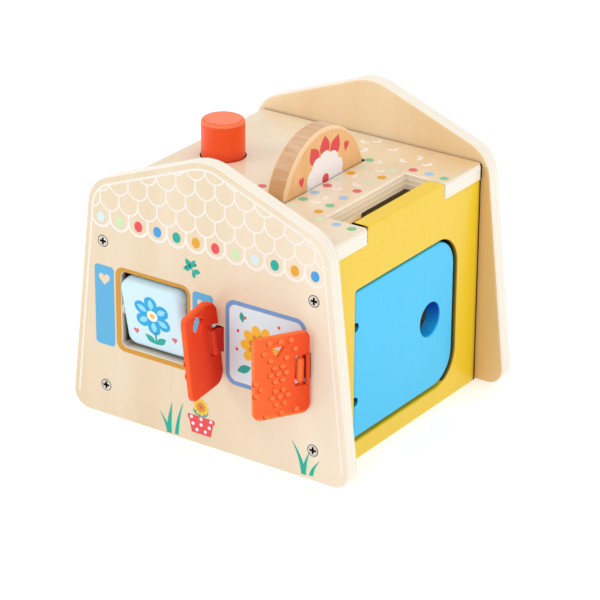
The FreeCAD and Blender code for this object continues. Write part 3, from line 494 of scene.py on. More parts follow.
dress(steel("screw_steel", "#ddd6cb", "#a8a094", 0.4, recess=106.7), "front_screws", "rear_screws")
dress(steel("shelf_screw_steel", "#e4ded4", "#aaa196", 0.4), "shelf_screws")
dress(steel("bright_steel", "#d8d8d8", "#9a9a98", 0.28), "chimney_spring", "tile_axle",
      "left_loop_pin", "right_loop_pin")
dress(steel("dark_steel", "#4a4641", "#2e2b28", 0.4), "door_hinge_rod", "upper_hinge_eye",
      "lower_hinge_eye")
dress(silicone("washer_plastic", "#f6e4de", "#ecd2ca"), "tile_spacers", "disc_washers")

# Flat shapes, as loops of (across, up) points

ARC_STEPS = 10
MITRE = 0.4  # the sharpest bend of a stroke that keeps its width


def angles(count):
    """Evenly spaced angles round a full turn, in radians."""
    return [2 * math.pi * step / count for step in range(count)]


def turned(points, x, y, turn):
    """Points turned by an angle in degrees and moved by (x, y)."""
    cosine, sine = math.cos(math.radians(turn)), math.sin(math.radians(turn))
    return [(x + across * cosine - up * sine, y + across * sine + up * cosine) for across, up in points]


def oval(x, y, width, height=None):
    height = height or width
    return [(x + math.cos(t) * width / 2, y + math.sin(t) * height / 2) for t in angles(32)]


def heart(x, y, width, height, turn=0.0):
    loop = []
    for t in angles(40):
        lobes = 13 * math.cos(t) - 5 * math.cos(2 * t) - 2 * math.cos(3 * t) - math.cos(4 * t)
        loop.append((math.sin(t) ** 3 * width / 2, (lobes + 2.5) / 29 * height))
    return turned(loop, x, y, turn)


def petal(x, y, length, width, turn):
    """A leaf with two points that starts at (x, y) and runs along an angle in degrees."""
    rim = [(length * step / 12, math.sin(math.pi * step / 12) * width / 2) for step in range(13)]
    return turned(rim + [(ahead, -side) for ahead, side in rim[-2:0:-1]], x, y, turn)


def blossom(x, y, reach, petals, depth=0.28, turn=0.0):
    """A round flower outline with soft lobes, turned by an angle in radians."""
    loop = []
    for angle in angles(petals * 12):
        lobe = abs(math.cos(petals * angle / 2))
        radius = reach * (1 - depth + depth * lobe ** 0.7)
        loop.append((x + radius * math.cos(angle + turn), y + radius * math.sin(angle + turn)))
    return loop


def rounded(points, radius, closed=True):
    """A path whose corners are arcs of one radius, or of one radius for each point."""
    radii = radius if isinstance(radius, list) else [radius] * len(points)
    out = []
    for index, point in enumerate(points):
        if not closed and index in (0, len(points) - 1):
            out.append(point)
            continue
        corner = Vector(point)
        before = (Vector(points[index - 1]) - corner).normalized()
        after = (Vector(points[(index + 1) % len(points)]) - corner).normalized()
        half = before.angle(after) / 2
        centre = corner + (before + after).normalized() * (radii[index] / math.sin(half))
        first = corner + before * (radii[index] / math.tan(half)) - centre
        last = corner + after * (radii[index] / math.tan(half)) - centre
        out += [tuple(centre + first.slerp(last, step / ARC_STEPS) * radii[index])
                for step in range(ARC_STEPS + 1)]
    return out


def panel(left, right, low, high, radius):
    return rounded([(left, low), (right, low), (right, high), (left, high)], radius)


def stroke(path, width):
    """A plate that follows an open path with an even width."""
    ways = [(Vector(after) - Vector(here)).normalized() for here, after in zip(path, path[1:])]
    left, right = [], []
    for point, into, out in zip(path, ways[:1] + ways, ways + ways[-1:]):
        way = (into + out).normalized()
        side = Vector((-way.y, way.x)) * (width / 2 / max(MITRE, way.dot(out)))
        left.append(tuple(Vector(point) + side))
        right.append(tuple(Vector(point) - side))
    return [left + right[::-1]]


def inside(point, loop):
    x, y = point
    odd = False
    for (x1, y1), (x2, y2) in zip(loop, loop[1:] + loop[:1]):
        if (y1 > y) != (y2 > y) and x < (x2 - x1) * (y - y1) / (y2 - y1) + x1:
            odd = not odd
    return odd


# Meshes and objects


def clamp(value):
    return min(1.0, max(0.0, value))


def vert(mesh, x, y, z):
    return mesh.verts.new((x * MM, y * MM, z * MM))


def band(mesh, one, two, tint=0):
    """Faces between two rings with as many vertices."""
    for step in range(len(one)):
        after = (step + 1) % len(one)
        face = mesh.faces.new((one[step], one[after], two[after], two[step]))
        face.material_index = tint


def cad_copy(node):
    mesh = bmesh.new()
    mesh.from_mesh(NODES[node].data)
    return mesh


def cut(mesh, way, places):
    """Adds edges where planes across a way meet the mesh."""
    for place in places:
        geometry = mesh.verts[:] + mesh.edges[:] + mesh.faces[:]
        bmesh.ops.bisect_plane(mesh, geom=geometry, plane_co=Vector(way) * (place * MM), plane_no=way)


def fill(data, mesh, *materials):
    """Moves a built mesh into the data of an object."""
    mesh.to_mesh(data)
    mesh.free()
    for material in materials:
        data.materials.append(material)
    return data


def add_object(name, data):
    thing = bpy.data.objects.new(name, data)
    bpy.context.scene.collection.objects.link(thing)
    return thing


# Prints: thin layers of ink on a plane of a body

INK_DEPTH, INK_STEP = 0.05, 0.05  # how far ink reaches into the wood, and up at each level
INK_HAIR, HAIR_LEVELS = 0.006, 5


def plane(origin, across, up):
    """The matrix of a printed plane."""
    across, up = Vector(across), Vector(up)
    axes = Matrix((across, up, across.cross(up))).transposed().to_4x4()
    return Matrix.Translation(Vector(origin) * MM) @ axes


def thin_plates(shapes, low, high):
    """Flat closed plates, each given as its outer loop and any holes.

    Plates next in line differ a hair in height, so that two that cross don't flicker."""
    mesh = bmesh.new()
    for index, loops in enumerate(shapes):
        top = high + index % HAIR_LEVELS * INK_HAIR
        flat = [point for loop in loops for point in loop]
        floor = [vert(mesh, x, y, low) for x, y in flat]
        roof = [vert(mesh, x, y, top) for x, y in flat]
        outlines = [[Vector((x, y, 0)) for x, y in loop] for loop in loops]
        for corners in tessellate_polygon(outlines):
            mesh.faces.new([roof[corner] for corner in corners])
            mesh.faces.new([floor[corner] for corner in corners])
        start = 0
        for loop in loops:
            end = start + len(loop)
            band(mesh, floor[start:end], roof[start:end])
            start = end
    bmesh.ops.recalc_face_normals(mesh, faces=mesh.faces)
    return mesh


def print_on(name, side, shapes, colour, level=1):
    """Ink of one colour on a side of a body. A higher level lies over a lower one."""
    body, place = side
    mesh = thin_plates(shapes, -INK_DEPTH, INK_STEP * level)
    thing = add_object(name, fill(bpy.data.meshes.new(name), mesh, INKS[colour]))
    thing.matrix_world = place
    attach(thing, body)


FRONT = "house", plane((0, -GABLE_FACE, 0), (1, 0, 0), (0, 0, 1))
ROOF = "house", plane((0, 0, ROOF_TOP), (1, 0, 0), (0, 1, 0))
DISC = "disc", plane((DISC_FACE, 0, DISC_Z), (0, 1, 0), (0, 0, 1))
TILE = "tile", plane((WINDOW_X, TILE_AXLE_Y - TILE_HALF * math.cos(TILE_TILT),
                      WINDOW_Z - TILE_HALF * math.sin(TILE_TILT)),
                     (1, 0, 0), (0, -math.sin(TILE_TILT), math.cos(TILE_TILT)))

INK_TONES = {
    "white": ("#f4e9e0", "#ede0d4"), "bright": ("#fbf4f6", "#f4ebef"),
    "faint": ("#f6ebe0", "#efe0d0"), "blue": ("#5aaeda", "#50a6d6"),
    "frame_blue": ("#6f9fd2", "#6597ce"), "orange": ("#d0942c", "#c68a26"),
    "dot_orange": ("#e3a51e", "#da9c18"), "panel": ("#dcf1f8", "#d3eaf4"),
    "red": ("#e64a50", "#de4048"), "teal": ("#14ab9b", "#109c8e"),
    "green": ("#7cc58f", "#70bb85"), "pale_green": ("#c9e6b4", "#bfdfa9"),
    "pale_blue": ("#d5e8ea", "#cbe2e6"), "faded_green": ("#d6e2c2", "#cfdcba"),
    "sky": ("#3f9cdc", "#3594d6"), "deep_sky": ("#12a8e2", "#0a9edb"),
    "soft_blue": ("#9cc4e6", "#90bbe0"), "soft_sky": ("#8fdcf6", "#84d4f1"),
    "soft_red": ("#e0666a", "#d85c60"), "dark_teal": ("#0d6f68", "#0a645e"),
    "gold": ("#f4c23a", "#efb92c")}
INKS = {name: printed(name + "_ink", *tones) for name, tones in INK_TONES.items()}

# Front print: roof scales, borders and printed shutters

# The left half of the gable's outline, by its sharp corners and their rounding
GABLE_FOOT, GABLE_EAVES, GABLE_APEX = Vector((-120, 0)), Vector((-100.3, 177.5)), Vector((0, 215.5))
FOOT_ROUND, EAVES_ROUND, APEX_ROUND = 13, 26, 36
SIDE = (GABLE_EAVES - GABLE_FOOT).normalized()
SLOPE = (GABLE_APEX - GABLE_EAVES).normalized()
BORDER_INSET, BORDER_LINE = 5.2, 1.6
PITCH, ROW = 16.38, 13.3
SCALE_LINE, LOW_SCALE_LINE = 1.4, 2.0
BOTTOM_ROW = 154.2
CUT_HALVINGS = 8
SHORTEST_RUN = 0.6  # shorter rests of a scale at the border are left out


def meet(point, way, other, other_way):
    """Where two lines cross."""
    return point + way * ((other - point).cross(other_way) / way.cross(other_way))


def border_path():
    """The pale line that follows the sides and the roof at an even inset."""
    side_start = GABLE_FOOT + Vector((SIDE.y, -SIDE.x)) * BORDER_INSET
    slope_start = GABLE_EAVES + Vector((SLOPE.y, -SLOPE.x)) * BORDER_INSET
    foot = side_start + SIDE * FOOT_ROUND
    eaves = meet(side_start, SIDE, slope_start, SLOPE)
    apex = meet(slope_start, SLOPE, GABLE_APEX, Vector((0, 1)))
    points = [tuple(foot), tuple(eaves), tuple(apex), (-eaves.x, eaves.y), (-foot.x, foot.y)]
    corners = (0, EAVES_ROUND, APEX_ROUND, EAVES_ROUND, 0)
    return rounded(points, [radius - BORDER_INSET for radius in corners], closed=False)


def cut_off(path, region):
    """The parts of a path that lie inside a region, each cut where it crosses the border."""
    runs = [[]]
    for here, after in zip(path, path[1:]):
        start, end = inside(here, region), inside(after, region)
        if start and not runs[-1]:
            runs[-1].append(here)
        if start != end:
            low, high = Vector(here), Vector(after)
            for _ in range(CUT_HALVINGS):
                middle = (low + high) / 2
                low, high = (middle, high) if inside(middle, region) == start else (low, middle)
            runs[-1].append(tuple(low))
        if end:
            runs[-1].append(after)
        elif runs[-1]:
            runs.append([])
    return [run for run in runs
            if len(run) > 1 and (Vector(run[0]) - Vector(run[-1])).length > SHORTEST_RUN]


def scale_row(row, region):
    """One row of round-ended scales, cut off at the border."""
    radius = PITCH / 2
    shift = 0.5 if row % 2 == 0 else 0.0
    level = BOTTOM_ROW + row * ROW
    runs = []
    for column in range(-7, 8):
        x = (column + shift) * PITCH
        arc = [math.pi * step / 20 for step in range(21)]
        path = [(x - math.cos(t) * radius, level - math.sin(t) * radius) for t in arc]
        runs += cut_off([(x - radius, level + ROW - radius)] + path, region)
    return runs


border = border_path()
border_region = border + [(border[-1][0], -20), (border[0][0], -20)]
print_on("border_line", FRONT, [stroke(border, BORDER_LINE)], "white")
for row in range(5):
    line = LOW_SCALE_LINE if row == 0 else SCALE_LINE
    print_on(f"scales_{row + 1}", FRONT,
             [stroke(run, line) for run in scale_row(row, border_region)], "white", 2 + 0.6 * (row % 3))

EAVES_DOTS = ("pale_blue", "pale_green", "red", "sky", "teal", "dot_orange", "red", "pale_green",
              "pale_blue", "teal", "dot_orange", "sky")
for index, colour in enumerate(EAVES_DOTS):
    print_on(f"eaves_dot_{index + 1}", FRONT, [[oval((index - 5.5) * PITCH, 153, 6.8, 7.8)]], colour, 2)

print_on("window_border", FRONT,
         [[panel(-78.3, -13.4, 54.4, 118.8, 7), panel(-74.0, -16.0, 58.0, 116.0, 4.4)]], "orange", 2)
print_on("left_printed_shutter", FRONT,
         [[panel(-96.7, -79.7, 55.5, 116.5, 3), heart(-88.3, 105.6, 9.8, 9.2)]], "blue", 2)
print_on("middle_printed_shutter", FRONT,
         [[panel(-11.4, 6, 55.5, 117, 3), heart(-2.8, 107.4, 9.8, 9.2)]], "blue", 2)
print_on("framed_panel", FRONT, [[panel(19, 81, 57.5, 116.5, 6)]], "panel")
print_on("framed_panel_edge", FRONT,
         [[panel(19.2, 80.8, 57.7, 116.3, 5.5), panel(20.6, 79.4, 59.1, 114.9, 5)]], "white", 2)
print_on("framed_panel_border", FRONT,
         [[panel(16.6, 83.4, 55.1, 118.9, 8), panel(19.8, 80.2, 58.3, 115.7, 5.5)]], "frame_blue", 3)

# Front print: small motifs


def grass(x, z, blades):
    """Tapered blades from one foot, each given by its lean, height, bow and width."""
    shapes = []
    for lean, height, bow, width in blades:
        left, right = [], []
        for step in range(9):
            share = step / 8
            across, up = x + lean * share + bow * share ** 2, z + height * share
            half = width / 2 * (1 - share ** 1.6) + 0.08
            left.append((across - half, up))
            right.append((across + half, up))
        shapes.append([left + right[::-1]])
    return shapes


def meadow(name, x, z, blades):
    """Blades of grass with smaller pale ones beside and under them."""
    print_on(name, FRONT, grass(x, z, blades), "teal", 2)
    pale = [(lean * 0.9 + 0.8, height * 0.8, bow, width * 0.5) for lean, height, bow, width in blades]
    print_on(name + "_light", FRONT, grass(x + 1.7, z, pale), "pale_green")


def printed_flower(name, x, z, petal_count, widths, level):
    """A golden flower with an orange ring and a red eye, by the reaches of the first two."""
    reach, ring, eye = widths
    print_on(name, FRONT, [[blossom(x, z, reach, petal_count)]], "gold", level)
    print_on(name + "_ring", FRONT, [[blossom(x, z, ring, petal_count, turn=0.3)]], "orange", level + 1)
    print_on(name + "_centre", FRONT, [[oval(x, z, eye)]], "red", level + 2)


def specks(places, width):
    return [[oval(x, y, width)] for x, y in places]


def petals(*rows):
    return [[petal(*row)] for row in rows]


meadow("left_grass", -33, 2, [(-4, 15, -4, 3.4), (0, 24.5, 3, 4.2)])
meadow("left_grass_blade", -26.5, 2.4, [(2, 26, 4, 3.0)])
meadow("right_grass", 82, 3.4, [(-3, 23.5, -7, 4.0), (1, 19, 4, 3.2)])
meadow("right_grass_blade", 88, 4, [(2, 13, 5, 3.0)])

print_on("sprig", FRONT, petals((-12.4, 133.6, 7.6, 4.2, 128), (-12.4, 133.6, 7.2, 4.0, 62),
                                (-12.4, 133.2, 6.8, 4.0, 190), (-11, 131.4, 6.6, 3.8, 5),
                                (-11, 131.4, 5.2, 3.2, -72)) +
         [stroke([(-14, 136), (-12.4, 133.4), (-9.6, 130)], 1.0)], "teal", 2)
print_on("sprig_berries", FRONT, specks(((-16.2, 133.4), (-8.6, 136.4)), 1.8), "dark_teal", 3)

print_on("pot", FRONT, [[[(-13.2, 8.6), (3.2, 8.6), (5.4, 19), (-15.4, 19)]],
                        [panel(-16.6, 6.6, 18.6, 22.2, 1)]], "red", 2)
print_on("pot_dots", FRONT,
         specks(((-12, 15.4), (-5, 16), (2, 15.4), (-8.6, 11.4), (-1.4, 11.4), (-13.4, 20.4),
                 (-5, 20.4), (3.4, 20.4)), 2.6), "bright", 3)
print_on("pot_stem", FRONT, [stroke([(-5, 22.2), (-5.3, 24.4), (-5, 27)], 1.2)] +
         petals((-5.2, 22.6, 8, 3.6, 32), (-5.2, 22.6, 8, 3.6, 150)), "teal", 2)
printed_flower("pot_flower", -5, 29.6, 9, (6.6, 4.1, 2.6), 3)

printed_flower("panel_flower", 46, 88, 10, (17, 10.5, 9), 2)
print_on("panel_leaves", FRONT,
         petals((38, 72, 13, 6, 205), (54, 72, 13, 6, -25), (31, 104, 8, 4, 100)), "teal", 2)
print_on("panel_specks", FRONT,
         specks(((27, 97), (33, 108), (26, 83), (61, 108), (70, 100), (69, 72)), 2.4), "red", 2)

# Roof confetti

ROOF_DOTS = (
    ("green", ((27.7, 51.9), (90.0, 52.9), (31.4, -35.7), (52.9, -34.8), (88.0, -60.7))),
    ("dot_orange", ((31.1, 23.6), (53.6, 29.1), (52.5, -48.3))),
    ("soft_red", ((63.6, 53.7), (53.3, -2.1), (30.9, -5.5), (-5.7, -32.7))),
    ("soft_blue", ((76.9, 53.8), (52.8, -18.2), (30.8, -21.4), (75.3, -60.2))),
    ("faded_green", ((31.7, -48.8), (61.1, -59.6), (30.6, 9.3), (31.7, 38.1), (51.8, 15.2),
                     (53.1, 44))))
for index, (colour, places) in enumerate(ROOF_DOTS, start=1):
    print_on(f"roof_dots_{index}", ROOF, specks(places, 6.6), colour, 2)
ROOF_PETALS = ((3, 78, 20), (17, 66, 140), (31, 76, 75), (46, 63, 10), (38, 50, 120), (45, 36, 60),
               (39, 20, 150), (45, 5, 30), (42, -9, 100), (45, -25, 160), (40, -38, 40), (68, 66, 95),
               (14, 84, 100), (58, 76, 160))
print_on("roof_petals", ROOF, petals(*[(x, y, 7, 3.4, turn) for x, y, turn in ROOF_PETALS]) +
         petals(*[(x, y, 5.5, 3, turn + 75) for x, y, turn in ROOF_PETALS]), "faint")

# Disc and tile prints


def rays(x, y, start, length, width, turns):
    """Petals round a centre, at angles in degrees."""
    return petals(*[(x + start * math.cos(math.radians(turn)),
                     y + start * math.sin(math.radians(turn)), length, width, turn) for turn in turns])


print_on("disc_rays", DISC, rays(0, 10, 17, 18, 12, (62, 91, 120)), "red")
print_on("disc_flower", DISC, [[blossom(0, 10, 23.5, 11, 0.1, math.pi / 2)]], "bright", 2)
print_on("disc_flower_centre", DISC, [[oval(0.5, 12.5, 8)]], "red", 3)
print_on("disc_hearts", DISC, [[heart(-28.8, 18.5, 6, 8, 8)], [heart(26, 29, 6, 8, -14)],
                               [heart(-36, -10, 6, 7)], [heart(36, -10, 6, 7)]], "red", 2)
print_on("disc_lower_flower", DISC, [[blossom(0, -30, 10, 8)]], "bright", 2)

print_on("tile_flower", TILE, [[blossom(0, 4, 16, 6, 0.34, math.pi / 2)]], "deep_sky")
print_on("tile_flower_petals", TILE, rays(0, 4, 5, 9, 4.6, range(30, 390, 60)), "soft_sky", 2)
print_on("tile_flower_centre", TILE, [[oval(0, 4, 9)]], "bright", 3)
print_on("tile_flower_eye", TILE, [[oval(0, 4, 4.4)]], "gold", 4)
print_on("tile_leaves", TILE, [stroke([(0, -10), (0.4, -15), (-0.2, -20)], 1.6)] +
         petals((0, -19.6, 11, 5.4, 35), (0, -19.6, 11, 5.4, 145)), "teal")
print_on("tile_hearts", TILE, [[heart(-16.5, -13, 4.6, 5)], [heart(17, -12, 4.6, 5)]], "soft_red")

# Soft shutters

HINGE_INSET = 6.4  # from the leaf's hinge edge to the middle of its bar
BAR_SIDE = 3  # where the leaf proper begins, across from the bar
FREE_SPAN = 32  # from there to the free edge
FACE_DEPTH = 1.9  # studs and ribs start a little under the leaf's face
# Material slots: the skin, studs with a painted highlight, the painted shadow under each stud, and the
# painted shadow beside the bar.
SKIN, STUD, STUD_SHADOW, BAR_SHADOW = range(4)  # material slots of a leaf
STUD_STEPS, STUD_RINGS = 12, 3
LEAF_CUTS = (-4.5, -2.5, 0, 2.5, *range(6, 34, 2))
LEAF_STUDS = ((22.9, 27.2), (15, 27), (7.5, 26.8), (4.6, 20), (26.8, 19.8), (22.2, 13.9), (10.7, 14.5),
              (19.3, 7.9), (13.5, 8.3), (22.1, 2.8), (16.8, 3.3), (11, 3.4), (18.9, -2.2), (13.5, -1.7),
              (32.9, -1.5), (29.3, -6.3), (32.6, -10.9), (18.9, -9.3), (13.1, -9.2), (9.8, -13.9),
              (21.4, -14.4), (15.6, -14.3), (18.1, -19.8), (12.3, -19.4), (3.6, -26.2), (14.5, -26.8),
              (25.3, -27.8))
HEART_STUDS = 8  # the left leaf has its heart in place of the first ones
HEART_MIDDLE, HEART_REACH = Vector((16, 18.2)), 7.6


def add_dome(mesh, x, side, z, width, height, tint):
    """A low dome on the shutter's face, which is the +1 or the -1 side."""
    rings = []
    for ring in range(STUD_RINGS):
        lift = math.sin(math.pi / 2 * ring / STUD_RINGS) * height
        radius = math.cos(math.pi / 2 * ring / STUD_RINGS) * width / 2
        rings.append([vert(mesh, x + radius * math.cos(t), side * (FACE_DEPTH + lift),
                           z + radius * math.sin(t)) for t in angles(STUD_STEPS)])
    tip = vert(mesh, x, side * (FACE_DEPTH + height), z)
    mesh.faces.new(rings[0])
    for lower, upper in zip(rings, rings[1:]):
        band(mesh, lower, upper, tint)
    for step, corner in enumerate(rings[-1]):
        after = rings[-1][(step + 1) % STUD_STEPS]
        mesh.faces.new((corner, after, tip)).material_index = tint


def add_studs(mesh, side, places):
    """Moulded studs, each over a dark disc, set off below it, that is its painted shadow."""
    for x, z in places:
        add_dome(mesh, x + 0.55, side, z - 0.5, 4.6, 0.3, STUD_SHADOW)
        add_dome(mesh, x, side, z, 4.3, 1.5, STUD)


def add_rib(mesh, path):
    """A low half-round rib along a closed path on the shutter's +1 side."""
    profile = ((-0.8, -0.2), (-1.6 / 3, 0.48), (0, 0.6), (1.6 / 3, 0.48), (0.8, -0.2))
    rings = []
    for index, here in enumerate(path):
        way = (Vector(path[(index + 1) % len(path)]) - Vector(path[index - 1])).normalized()
        rings.append([vert(mesh, here[0] - way.y * across, FACE_DEPTH + lift, here[1] + way.x * across)
                      for across, lift in profile])
    for one, two in zip(rings, rings[1:] + rings[:1]):
        band(mesh, one, two)


def add_strip(mesh, left, right, low, high, back, front, tint=SKIN):
    """A thin flat bar of silicone with bevelled long edges."""
    profile = [(left, back), (right, back), (right, front - 0.5), (right - 0.5, front),
               (left + 0.5, front), (left, front - 0.5)]
    rings = [[vert(mesh, x, y, z) for x, y in profile] for z in (low, high)]
    mesh.faces.new(rings[0]).material_index = tint
    mesh.faces.new(rings[1][::-1]).material_index = tint
    band(mesh, *rings, tint)


def left_details(mesh):
    """A widened heart hole, a hinge side that narrows, and studs on the hidden face."""
    for vertex in mesh.verts:
        offset = Vector((vertex.co.x / MM, vertex.co.z / MM)) - HEART_MIDDLE
        if offset.length < HEART_REACH:
            vertex.co.x = (HEART_MIDDLE.x + offset.x * 1.5) * MM
            vertex.co.z = (HEART_MIDDLE.y + offset.y * 1.2) * MM
        inward = max(0.0, (4 - vertex.co.x / MM) / (4 + HINGE_INSET))
        vertex.co.z *= 1 - 0.13 * inward ** 2
    add_studs(mesh, -1, LEAF_STUDS[HEART_STUDS:])


def right_details(mesh):
    """A flat strip on one side of the bar and a dark one on the other as a painted shadow, a rib and
    studs.
    """
    add_strip(mesh, -HINGE_INSET, -3.5, -10, 14.6, -0.4, 2)
    # A dark strip beside the bar: a painted shadow.
    add_strip(mesh, 3.45, 5.2, -4.5, 11.8, -0.8, 0.6, BAR_SHADOW)
    add_rib(mesh, rounded([(9.8, 25.2), (24.8, 25.2), (17.4, 13.4)], 1.5))
    add_studs(mesh, 1, LEAF_STUDS)


def soft_piece(node, body, mesh, sharp, place, *materials):
    """Puts a soft copy in the place of its node. sharp is the least angle of a hard edge."""
    data = fill(bpy.data.meshes.new(node + "_soft"), mesh, *materials)
    data.shade_smooth()
    data.set_sharp_from_angle(angle=math.radians(sharp))
    piece = add_object(node + "_soft", data)
    piece.matrix_world = place
    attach(piece, body)
    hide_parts(node)


def soft_leaf(node, body, hinge_x, angle, details, lean, droop, shift, skin):
    """A copy of the shutter with its moulded details, leaning in its loose hinge.

    lean is its angle out of the vertical at the hinge edge, the bar and the free end, and droop
    its turn in its own plane, in degrees. shift is across from the bar, to the visible side
    and up. Its second number fades to the hinge edge, which stays clear of the wall."""
    place = Matrix.Translation(Vector((hinge_x, HINGE_Y, SHUTTER_Z)) * MM)
    place = place @ Matrix.Rotation(math.radians(180 + angle), 4, "Z")
    mesh = cad_copy(node)
    bmesh.ops.transform(mesh, matrix=place.inverted() @ NODES[node].matrix_world, verts=mesh.verts)
    cut(mesh, (1, 0, 0), LEAF_CUTS)
    details(mesh)
    bmesh.ops.recalc_face_normals(mesh, faces=mesh.faces)
    turn = Matrix.Rotation(math.radians(droop), 3, "Y")
    for vertex in mesh.verts:
        past_bar = vertex.co.x / MM - BAR_SIDE
        share = clamp(past_bar / (HINGE_INSET + BAR_SIDE) + 1)
        slant = lean[0] + (lean[1] - lean[0]) * share
        if past_bar >= 0:
            slant = lean[1] + (lean[2] - lean[1]) * min(1.0, past_bar / FREE_SPAN)
        tilt = Matrix.Rotation(-math.radians(slant), 3, "X")
        moved = Vector((shift[0], shift[1] * share, shift[2]))
        vertex.co = tilt @ (turn @ vertex.co) + moved * MM
    soft_piece(node, body, mesh, 35, place, skin, lit_stud_silicone, stud_shadow_silicone, bar_shadow_silicone)


# Leaf silicones: rim gives a painted highlight and deep a painted shade.
right_silicone = silicone("right_silicone", "#f55a22", "#ee501a", rim="#ff8246", deep="#d83008")
left_silicone = silicone("left_silicone", "#ee380c", "#e42e0a", rim="#fb6630", deep="#b81604")
# Lit and shaded copies of the silicone: paler for the studs' painted highlight, darker for the painted
# shadows under the studs and beside the bar.
lit_stud_silicone = silicone("lit_stud_silicone", "#ff7c42", "#fb6e34")
stud_shadow_silicone = silicone("stud_shadow_silicone", "#d8360a", "#ce2e08")
bar_shadow_silicone = silicone("bar_shadow_silicone", "#b81408", "#a81006")
soft_leaf("left_shutter", "left_leaf", LEFT_HINGE_X, LEFT_ANGLE, left_details, (-5, -8, -5), 1,
          (0, -2.2, 1.5), left_silicone)
soft_leaf("right_shutter", "right_leaf", RIGHT_HINGE_X, RIGHT_ANGLE, right_details,
          (2.4, 2.4, 2.4), 1.1, (0, 0, -0.5), right_silicone)

# Belts of the shutters

BELT_CUTS_Y = (-115.5, -113.4, -112.4, -111, -109.4, -108, -106.5, -104.5)
BELT_CUTS_Z = (78.5, 79, 80, 94, 95, 95.5)
BELT_STRAIGHT = 7  # half of the belt's height before its ends round off
BELT_INSIDE = 2.3  # what lies farther from the bar's middle is the belt's outer side


def soft_belt(node, hinge_x, angle, lean, lift, left, right, skin):
    """A copy of the belt with rounded ends that leans with its shutter.

    lift raises its free end, and left and right scale its flanks between bar and wall."""
    mesh = cad_copy(node)
    cut(mesh, (0, 1, 0), BELT_CUTS_Y)
    cut(mesh, (0, 0, 1), BELT_CUTS_Z)
    side = Matrix.Rotation(math.radians(270 + angle), 3, "Z") @ Vector((1, 0, 0))
    for vertex in mesh.verts:
        x, y, z = (value / MM for value in vertex.co)
        end = max(0.0, abs(z - BELT_Z) - BELT_STRAIGHT) / 2
        across, forward = x - hinge_x, min(0.0, y - HINGE_Y)
        if math.hypot(across, forward) > BELT_INSIDE:
            pinch = 1 - 0.36 * end ** 3
            across, forward = across * pinch, forward * pinch
        behind_bar = clamp((y - HINGE_Y) / 1.7) * (1 - clamp((y + 109.4) / 2.4))
        across *= 1 + ((left if across < 0 else right) - 1) * behind_bar
        free = 1 - clamp((y + 113) / 5)
        bend = (z - BELT_Z) * math.sin(math.radians(lean)) * free
        y = HINGE_Y + forward if y < HINGE_Y else y
        vertex.co = Vector((hinge_x + across + side.x * bend, y + side.y * bend, z + lift * free)) * MM
    soft_piece(node, "house", mesh, 50, Matrix.Identity(4), skin)


soft_belt("left_hinge_loop", LEFT_HINGE_X, LEFT_ANGLE, -8, 0, 1.1, 0.5,
          shaded_belt_silicone("left_belt", "#e23c10", "#d8300c", "#dc2c0c", "#b81c0a"))
soft_belt("right_hinge_loop", RIGHT_HINGE_X, RIGHT_ANGLE, 2.4, -0.4, 1.0, 0.15,
          shaded_belt_silicone("right_belt", "#f9742a", "#ee4a12", "#c01404", "#8c0c04"))

# Chimney button with a softer top edge, and its spring

CHIMNEY_EDGE = 3  # radius of the copy's top edge, which the CAD rounds to 2
EDGE_FOOT = 196.2  # the height at which that edge begins
EDGE_CUTS = (196.2, 196.9, 197.6, 198.2, 198.7, 199)


def chimney_copy():
    """A copy of the button whose top edge is rounded to 3 mm."""
    mesh = cad_copy("chimney_button")
    cut(mesh, (0, 0, 1), EDGE_CUTS)
    centre = Vector((CHIMNEY_X, 0)) * MM
    for vertex in mesh.verts:
        rise = vertex.co.z / MM - EDGE_FOOT
        if rise <= 0:
            continue
        room = math.sqrt(max(0.0, CHIMNEY_EDGE ** 2 - rise ** 2))
        allowed = (CHIMNEY_RADIUS - CHIMNEY_EDGE + room) * MM
        offset = vertex.co.xy - centre
        if offset.length > allowed:
            vertex.co.xy = centre + offset * (allowed / offset.length)
    data = fill(NODES["chimney_button"].data.copy(), mesh)
    data.set_sharp_from_angle(angle=math.radians(40))
    button = add_object("rounded_chimney", data)
    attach(button, "chimney")
    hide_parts("chimney_button")


def spring_copy():
    """A copy of the spring, placed on the house with its own mesh."""
    coil = add_object("pressed_spring", NODES["chimney_spring"].data.copy())
    coil.matrix_world = NODES["chimney_spring"].matrix_world.copy()
    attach(coil, "house")
    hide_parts("chimney_spring")
    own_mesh(coil)


chimney_copy()
spring_copy()

# Studio. Its places and sizes are in metres, and the powers of its lamps in watts.

WHITE = (1.0, 1.0, 1.0)
LAMP_AIM = Vector((0, 0, 0.08))


def floor_material():
    mat = Shader("studio_floor")
    mottle = mat.noise(3, 1.0, 2)
    return mat.finish(Base_Color=mat.mix(mottle, "#e6e7e8", "#ebecec"), Roughness=0.9,
                      Specular_IOR_Level=0.1, Emission_Color=(*WHITE, 1.0), Emission_Strength=0.38)


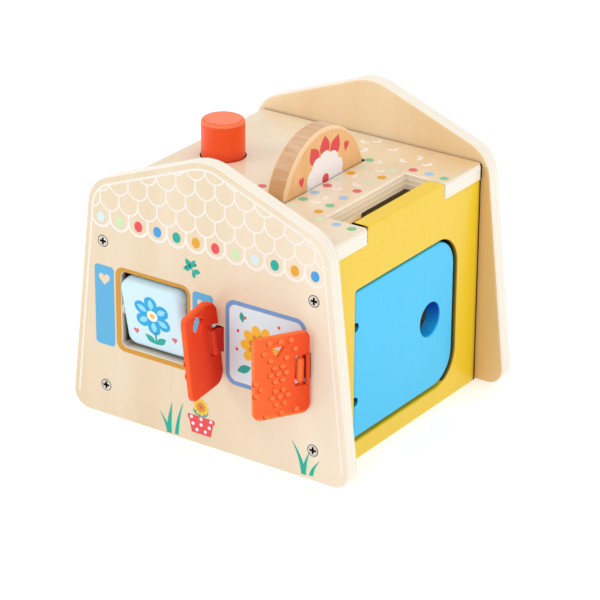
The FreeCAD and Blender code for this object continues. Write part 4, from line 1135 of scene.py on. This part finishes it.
def area_lamp(name, place, power, width, height=None, tint=WHITE):
    """A square lamp that aims at the house, or a flat one that faces +X."""
    lamp = bpy.data.lights.new(name, "AREA")
    lamp.energy, lamp.color, lamp.size = power, tint, width
    holder = add_object(name, lamp)
    holder.location = place
    holder.rotation_euler = (LAMP_AIM - Vector(place)).to_track_quat("-Z", "Y").to_euler()
    if height:
        lamp.shape, lamp.size_y = "RECTANGLE", height
        holder.rotation_euler = (math.radians(90), 0, math.radians(90))


def studio():
    """A plain pale floor, soft light from all round and a broad lamp from the upper left."""
    bpy.ops.mesh.primitive_plane_add(size=12)
    floor = bpy.context.object
    floor.name = "floor"
    floor.data.materials.append(floor_material())
    bpy.context.scene.view_settings.view_transform = "Standard"
    world = bpy.data.worlds.new("studio")
    bpy.context.scene.world = world
    world.use_nodes = True
    background = world.node_tree.nodes["Background"]
    background.inputs["Color"].default_value = (*WHITE, 1.0)
    background.inputs["Strength"].default_value = 0.84
    area_lamp("key", (-1.3, -1.3, 1.6), 9, 1.0, tint=(1.0, 0.985, 0.96))
    area_lamp("fill", (1.8, -0.9, 1.1), 4, 1.4, tint=(0.98, 0.99, 1.0))
    area_lamp("top", (0.3, 0.3, 2.0), 5, 1.2)
    area_lamp("slot_glow", (0.0822, -0.003, 0.166), 0.0045, 0.09, 0.005)
    area_lamp("room_glow", (0.0580, -0.020, 0.150), 0.004, 0.07, 0.010)


def camera():
    """The photograph's viewpoint: right of the front and a little above."""
    azimuth, elevation, roll = (math.radians(angle) for angle in (34.494, 24.152, 0.349))
    turn = Matrix.Identity(4)
    for angle, axis in ((azimuth, "Z"), (math.pi / 2 - elevation, "X"), (roll, "Z")):
        turn = turn @ Matrix.Rotation(angle, 4, axis)
    target = Vector((4.479, 0, 74.825)) * MM
    back = Vector((0, 0, 2.080958))
    focal_pixels, frame_pixels = 2908.156, 600
    data = bpy.data.cameras.new("camera")
    data.sensor_width = 36
    data.lens = data.sensor_width * focal_pixels / frame_pixels
    data.clip_start, data.clip_end = 0.1, 20
    holder = add_object("camera", data)
    holder.matrix_world = Matrix.Translation(target) @ turn @ Matrix.Translation(back)
    bpy.context.scene.camera = holder


studio()
camera()
